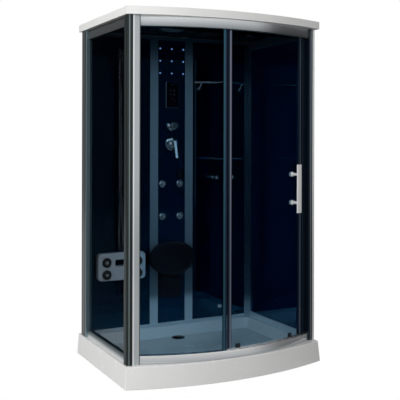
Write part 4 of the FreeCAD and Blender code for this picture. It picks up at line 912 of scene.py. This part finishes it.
@dataclass
class Massager:
    """Foot massager: moulded body with a slot, and four ringed pads with hubs."""

    across: float = -0.38275
    front: float = 0.3885
    middle: float = 0.555
    pad_apart: float = 0.217
    pad_rise: float = 0.08
    rounding: float = 0.009
    ring: tuple[Pair, ...] = (
        (10, 0), (32, 0), (32, 5), (30.5, 8.5), (27, 10), (21, 10), (16.5, 8.5), (14, 6), (12, 5),
        (0.4, 5))
    hub: tuple[Pair, ...] = (
        (10.5, 4), (10.5, 9), (9.5, 11.2), (7, 12.5), (3, 13), (0.3, 13))

    def build(self) -> None:
        """Body with wide roundings; each pad is a black ring round a grey hub."""
        body = softened("massager_body", self.rounding, segments=4)
        fit(body, Finish.MASSAGER, "white_plastic", "cabin", ("massager_body",))
        rings, hubs = [], []
        for side, lift in product((-0.5, 0.5), repeat=2):
            place = (self.across + side * self.pad_apart, self.front, self.middle + lift * self.pad_rise)
            rings.append(turned("ring", self.ring, place, FORWARD, 56))
            hubs.append(turned("hub", self.hub, place, FORWARD, 40))
        fit(merged("pad_rings", rings), Finish.BLACK_MATTE, "black_plastic", "cabin", ("massager_pads",))
        fit(merged("pad_hubs", hubs), Finish.GREY, "grey_plastic", "cabin", ("massager_pads",))


@dataclass
class Hose:
    """Hose of the hand shower: from its outlet, round a hanging loop, up to the hand shower.

    The route's points are (x, distance from the wall, height) in millimetres; the last is the end of the
    hand shower's tail. The swing is a direction and the reach a length; the build steps back from the tail
    along them to a start point, which it does not use.
    """

    width: float = 0.014
    length: float = 1.475
    pitch: float = 0.0024
    around: int = 20
    order: int = 3
    steps: int = 12
    helper: Triple = (0.83, -0.55, 0.06)
    swing: Triple = (-0.5, -0.8, 0.25)
    reach: float = 0.196
    route: tuple[Triple, ...] = (
        (-395, 69, 1034), (-395, 69, 958), (-393.5, 72, 880), (-391, 76, 812), (-389.6, 78.4, 775),
        (-389, 79, 728), (-396.4, 89.8, 705.3), (-409.1, 108.6, 692.2), (-423.8, 130.3, 692.2),
        (-436.6, 149, 705.3), (-444, 160, 728), (-446.5, 163, 775), (-445, 159, 830), (-437, 145, 905),
        (-425, 124, 985), (-413.5, 105, 1065), (-406, 93.5, 1145), (-402.5, 87.5, 1225),
        (-401, 83.5, 1305), (-400.4, 81, 1385), (-400, 79.5, 1460), (-400, 78.8, 1540),
        (-400, 78.6, 1615), (-400, 79.7, 1688.6), (-400, 86.98, 1758.26))

    def line(self) -> np.ndarray:
        """Points read from the smooth curve whose control points are the route's."""
        flat = np.array(self.route) / 1000.0
        places = np.column_stack([flat[:, 0], WALL_Y - flat[:, 1], flat[:, 2]])
        curve = bpy.data.curves.new("hose_line", "CURVE")
        curve.dimensions = "3D"
        spline = curve.splines.new("NURBS")
        spline.points.add(len(places) - 1)
        spline.points.foreach_set("co", np.column_stack([places, np.ones(len(places))]).ravel())
        spline.order_u = self.order
        spline.use_endpoint_u = True
        spline.resolution_u = self.steps
        guide = placed("hose_line", curve)
        read = bpy.data.meshes.new_from_object(guide)
        points = np.empty(len(read.vertices) * 3)
        read.vertices.foreach_get("co", points)
        bpy.data.objects.remove(guide)
        bpy.data.meshes.remove(read)
        return points.reshape(-1, 3)

    def tube(self, path: np.ndarray) -> Piece:
        """Tube round a line: centre + r (side cos a + lift sin a), with its length in rings as U.

        Args:
            path: points of the line; it never runs along the helper direction.

        Returns:
            The tube, with its length map.
        """
        along = np.gradient(path, axis=0)
        along /= np.linalg.norm(along, axis=1)[:, None]
        side = np.cross(along, np.array(self.helper))
        side /= np.linalg.norm(side, axis=1)[:, None]
        lift = np.cross(along, side)
        ring = circle(self.around)
        spokes = ring[None, :, :1] * side[:, None] + ring[None, :, 1:] * lift[:, None]
        hose = rings_joined("hose", path[:, None] + spokes * self.width / 2)
        step = np.linalg.norm(np.diff(path, axis=0), axis=1)
        length = np.concatenate([[0.0], np.cumsum(step)])
        corner = np.empty(len(hose.data.loops), dtype=np.int32)
        hose.data.loops.foreach_get("vertex_index", corner)
        chart = hose.data.uv_layers.new(name="UVMap")
        row, column = np.divmod(corner, self.around)
        places = np.column_stack([length[row] / self.pitch, column / self.around])
        chart.data.foreach_set("uv", places.ravel())
        return hose

    def build(self) -> None:
        """Make the hose in place of the imported one."""
        path = self.line()
        hose = self.tube(path)
        dress(hose, Finish.HOSE)
        tail = path[-1]
        start = tail - np.array(self.swing) / np.linalg.norm(self.swing) * self.reach
        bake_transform(hose)
        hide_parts("shower_hose")


# ---------- studio
@dataclass(frozen=True)
class Lamp:
    """Square soft lamp, aimed at a point; neither metal nor a pane shows it."""

    name: str
    place: Triple
    aim: Triple
    size: float
    power: float

    def build(self) -> None:
        """Add the lamp to the scene."""
        data = bpy.data.lights.new(self.name, "AREA")
        data.size = self.size
        data.energy = self.power
        lamp = placed(self.name, data)
        lamp.location = self.place
        lamp.rotation_euler = (Vector(self.aim) - Vector(self.place)).to_track_quat("-Z", "Y").to_euler()
        lamp.visible_glossy = False
        lamp.visible_transmission = False


@dataclass(frozen=True)
class Camera:
    """Camera of the photograph: level, with its horizon moved up in the frame.

    The focal length and the horizon's height are in pixels of a picture of the given width.
    """

    place: Triple = (-2.2348, -4.3987, 1.3997)
    yaw: float = 0.4686
    roll: float = -0.0025
    focal: float = 773.4
    horizon: float = 140.13
    picture: float = 400.0
    sensor: float = 36.0
    far: float = 60.0

    def build(self) -> None:
        """Add the camera to the scene and look through it."""
        data = bpy.data.cameras.new("camera")
        data.sensor_width = self.sensor
        data.sensor_fit = "HORIZONTAL"
        data.lens = self.focal / self.picture * self.sensor
        data.shift_y = (self.horizon - self.picture / 2) / self.picture
        data.clip_end = self.far
        camera = placed("camera", data)
        camera.location = self.place
        camera.rotation_euler = (math.pi / 2, self.roll, -self.yaw)
        bpy.context.scene.camera = camera


@dataclass
class Studio:
    """Pale floor, soft lamps, white surroundings and the camera.

    The mirrored studio is a set of (place, strength) over X, from -1 at the far left to 1 at the far
    right. The bands are ranges of the mirrored direction's Y or Z, from 0 level to 1 straight along it.
    """

    ambient: float = 0.4
    inner_light: float = 2.1
    studio: tuple[Pair, ...] = (
        (-1.0, 1.0), (-0.3, 0.95), (0.3, 0.78), (0.68, 0.66), (0.82, 0.05), (1.0, 0.04))
    behind_band: Pair = (0.2, 0.5)
    behind: float = 0.22
    above_band: Pair = (0.4, 0.7)
    inner_share: float = 0.1
    left_glint_band: Pair = (-0.45, -0.75)
    top_glint_band: Pair = (0.26, 0.36)
    top_glint: float = 1.6
    once_mirrored: Pair = (0.5, 1.5)
    floor_reach: float = 9.0
    floor_colour: float = 0.14
    floor_light: float = 1.02
    paper: float = 0.975
    floor_fade: Pair = (0.45, 0.85)
    floor_share: Pair = (0.46, 0.03)
    camera: Camera = Camera()
    lamps: tuple[Lamp, ...] = (
        Lamp("lamp_left", (-4.4, -0.9, 2.2), aim=(0, 0, 1.2), size=2.4, power=132),
        Lamp("lamp_front", (-1.4, -4.6, 1.9), aim=(0, 0, 1.0), size=2.2, power=80))

    @staticmethod
    def direct(graph: Graph, path: bpy.types.bpy_prop_collection) -> Socket:
        """One for rays of the camera and rays that left through a pane."""
        return graph.joined("MAXIMUM", path["Is Camera Ray"], path["Is Transmission Ray"])

    @staticmethod
    def background(graph: Graph, strength: Socket | float) -> Socket:
        """Even white light of a strength."""
        shader = graph.add("Background", Color=(1.0, 1.0, 1.0, 1.0))
        graph.link(strength, shader.inputs["Strength"])
        return shader.outputs[0]

    def mirrored(self, graph: Graph, path: bpy.types.bpy_prop_collection) -> Socket:
        """Studio that metal and glass mirror.

        It fades from left to right, is dim behind and pale above: strength = greatest of (ramp over X
        times ramp over Y, ramp over Z). What is mirrored inside and seen out through the glass is a small
        share of it, but all of it from the far left and from above, which gives the fittings their glints.
        """
        x, y, z = graph.axes("Generated")
        stops = [((place + 1) / 2, (level, level, level)) for place, level in self.studio]
        across = graph.ramp(graph.spread(x, (-1.0, 1.0)), stops)
        ahead = graph.spread(y, self.behind_band, (1.0, self.behind))
        above = graph.spread(z, self.above_band)
        studio = graph.joined("MAXIMUM", graph.joined("MULTIPLY", ahead, across), above)
        outside = graph.spread(path["Is Transmission Ray"], UNIT, (1.0, 0.0))
        glints = graph.joined("MAXIMUM", graph.spread(x, self.left_glint_band, (self.inner_share, 1.0)),
                              graph.spread(z, self.top_glint_band, (self.inner_share, self.top_glint)))
        share = graph.joined("MAXIMUM", outside, glints)
        return self.background(graph, graph.joined("MULTIPLY", studio, share))

    def world(self) -> None:
        """White to the camera and through glass, the studio to mirrored rays, a soft light elsewhere.

        A ray is mirrored when it has met metal or glass as a mirror once, or twice after a matt surface.
        Light that a matt surface gathers through a pane is about five times as strong as what it gathers
        directly. That is more than real panes let in: without it the tray's inside is half as light as in
        the photo.
        """
        world = bpy.data.worlds.new("surroundings")
        bpy.context.scene.world = world
        world.use_nodes = True
        graph = Graph(world.node_tree)
        graph.nodes.clear()
        path = graph.add("LightPath").outputs
        white = self.background(graph, graph.spread(path["Diffuse Depth"], UNIT, (1.0, self.inner_light)))
        plain = graph.either(self.direct(graph, path), self.background(graph, self.ambient), white)
        enough = graph.spread(path["Diffuse Depth"], UNIT, self.once_mirrored)
        test = graph.joined("GREATER_THAN", path["Glossy Depth"], enough)
        seen = graph.either(test, plain, self.mirrored(graph, path))
        graph.link(seen, graph.add("OutputWorld").inputs["Surface"])

    def floor(self) -> None:
        """Pale floor: part matt, which keeps the cabin's shadow, part its own light for the camera.

        Metal outside mirrors it pale to the left and dark to the right of the cabin.
        """
        side = self.floor_reach
        corners = np.array([[-side, -side, 0], [side, -side, 0], [side, side, 0], [-side, side, 0]])
        piece = mesh_object("floor", corners, [[0, 1, 2, 3]])
        material = bpy.data.materials.new("floor_paper")
        material.use_nodes = True
        graph = Graph(material.node_tree)
        shader = graph.nodes["Principled BSDF"]
        tone = self.floor_colour
        fill(shader, Base_Color=(tone, tone, tone, 1.0), Roughness=0.9)
        glow = graph.add("Emission", Strength=self.floor_light)
        path = graph.add("LightPath").outputs
        unmirrored = graph.joined("LESS_THAN", path["Glossy Depth"], self.once_mirrored[0])
        bright = graph.joined("MULTIPLY", self.direct(graph, path), unmirrored)
        white = graph.joined("MULTIPLY", bright, self.paper)
        outside = graph.joined("SUBTRACT", path["Is Glossy Ray"], path["Is Transmission Ray"])
        fade = graph.spread(graph.axes("Object")[Axis.X], self.floor_fade, self.floor_share)
        pale = graph.joined("MULTIPLY", outside, fade)
        share = graph.joined("MAXIMUM", white, pale)
        surface = graph.either(share, shader.outputs[0], glow.outputs[0])
        graph.link(surface, graph.nodes["Material Output"].inputs["Surface"])
        piece.data.materials.append(material)

    def build(self) -> None:
        """Set up the studio."""
        bpy.context.scene.view_settings.view_transform = "Standard"
        self.camera.build()
        self.world()
        self.floor()
        for lamp in self.lamps:
            lamp.build()


def main() -> None:
    """Build the cabin's looks and the studio."""
    logging.basicConfig(level=logging.INFO, format="%(message)s")
    for part in (Studio(), Hose(), Carcass(), Ceiling(), Column(), Seat(), Massager()):
        part.build()
        log.info("built %s", type(part).__name__)


if __name__ == "__main__":
    main()
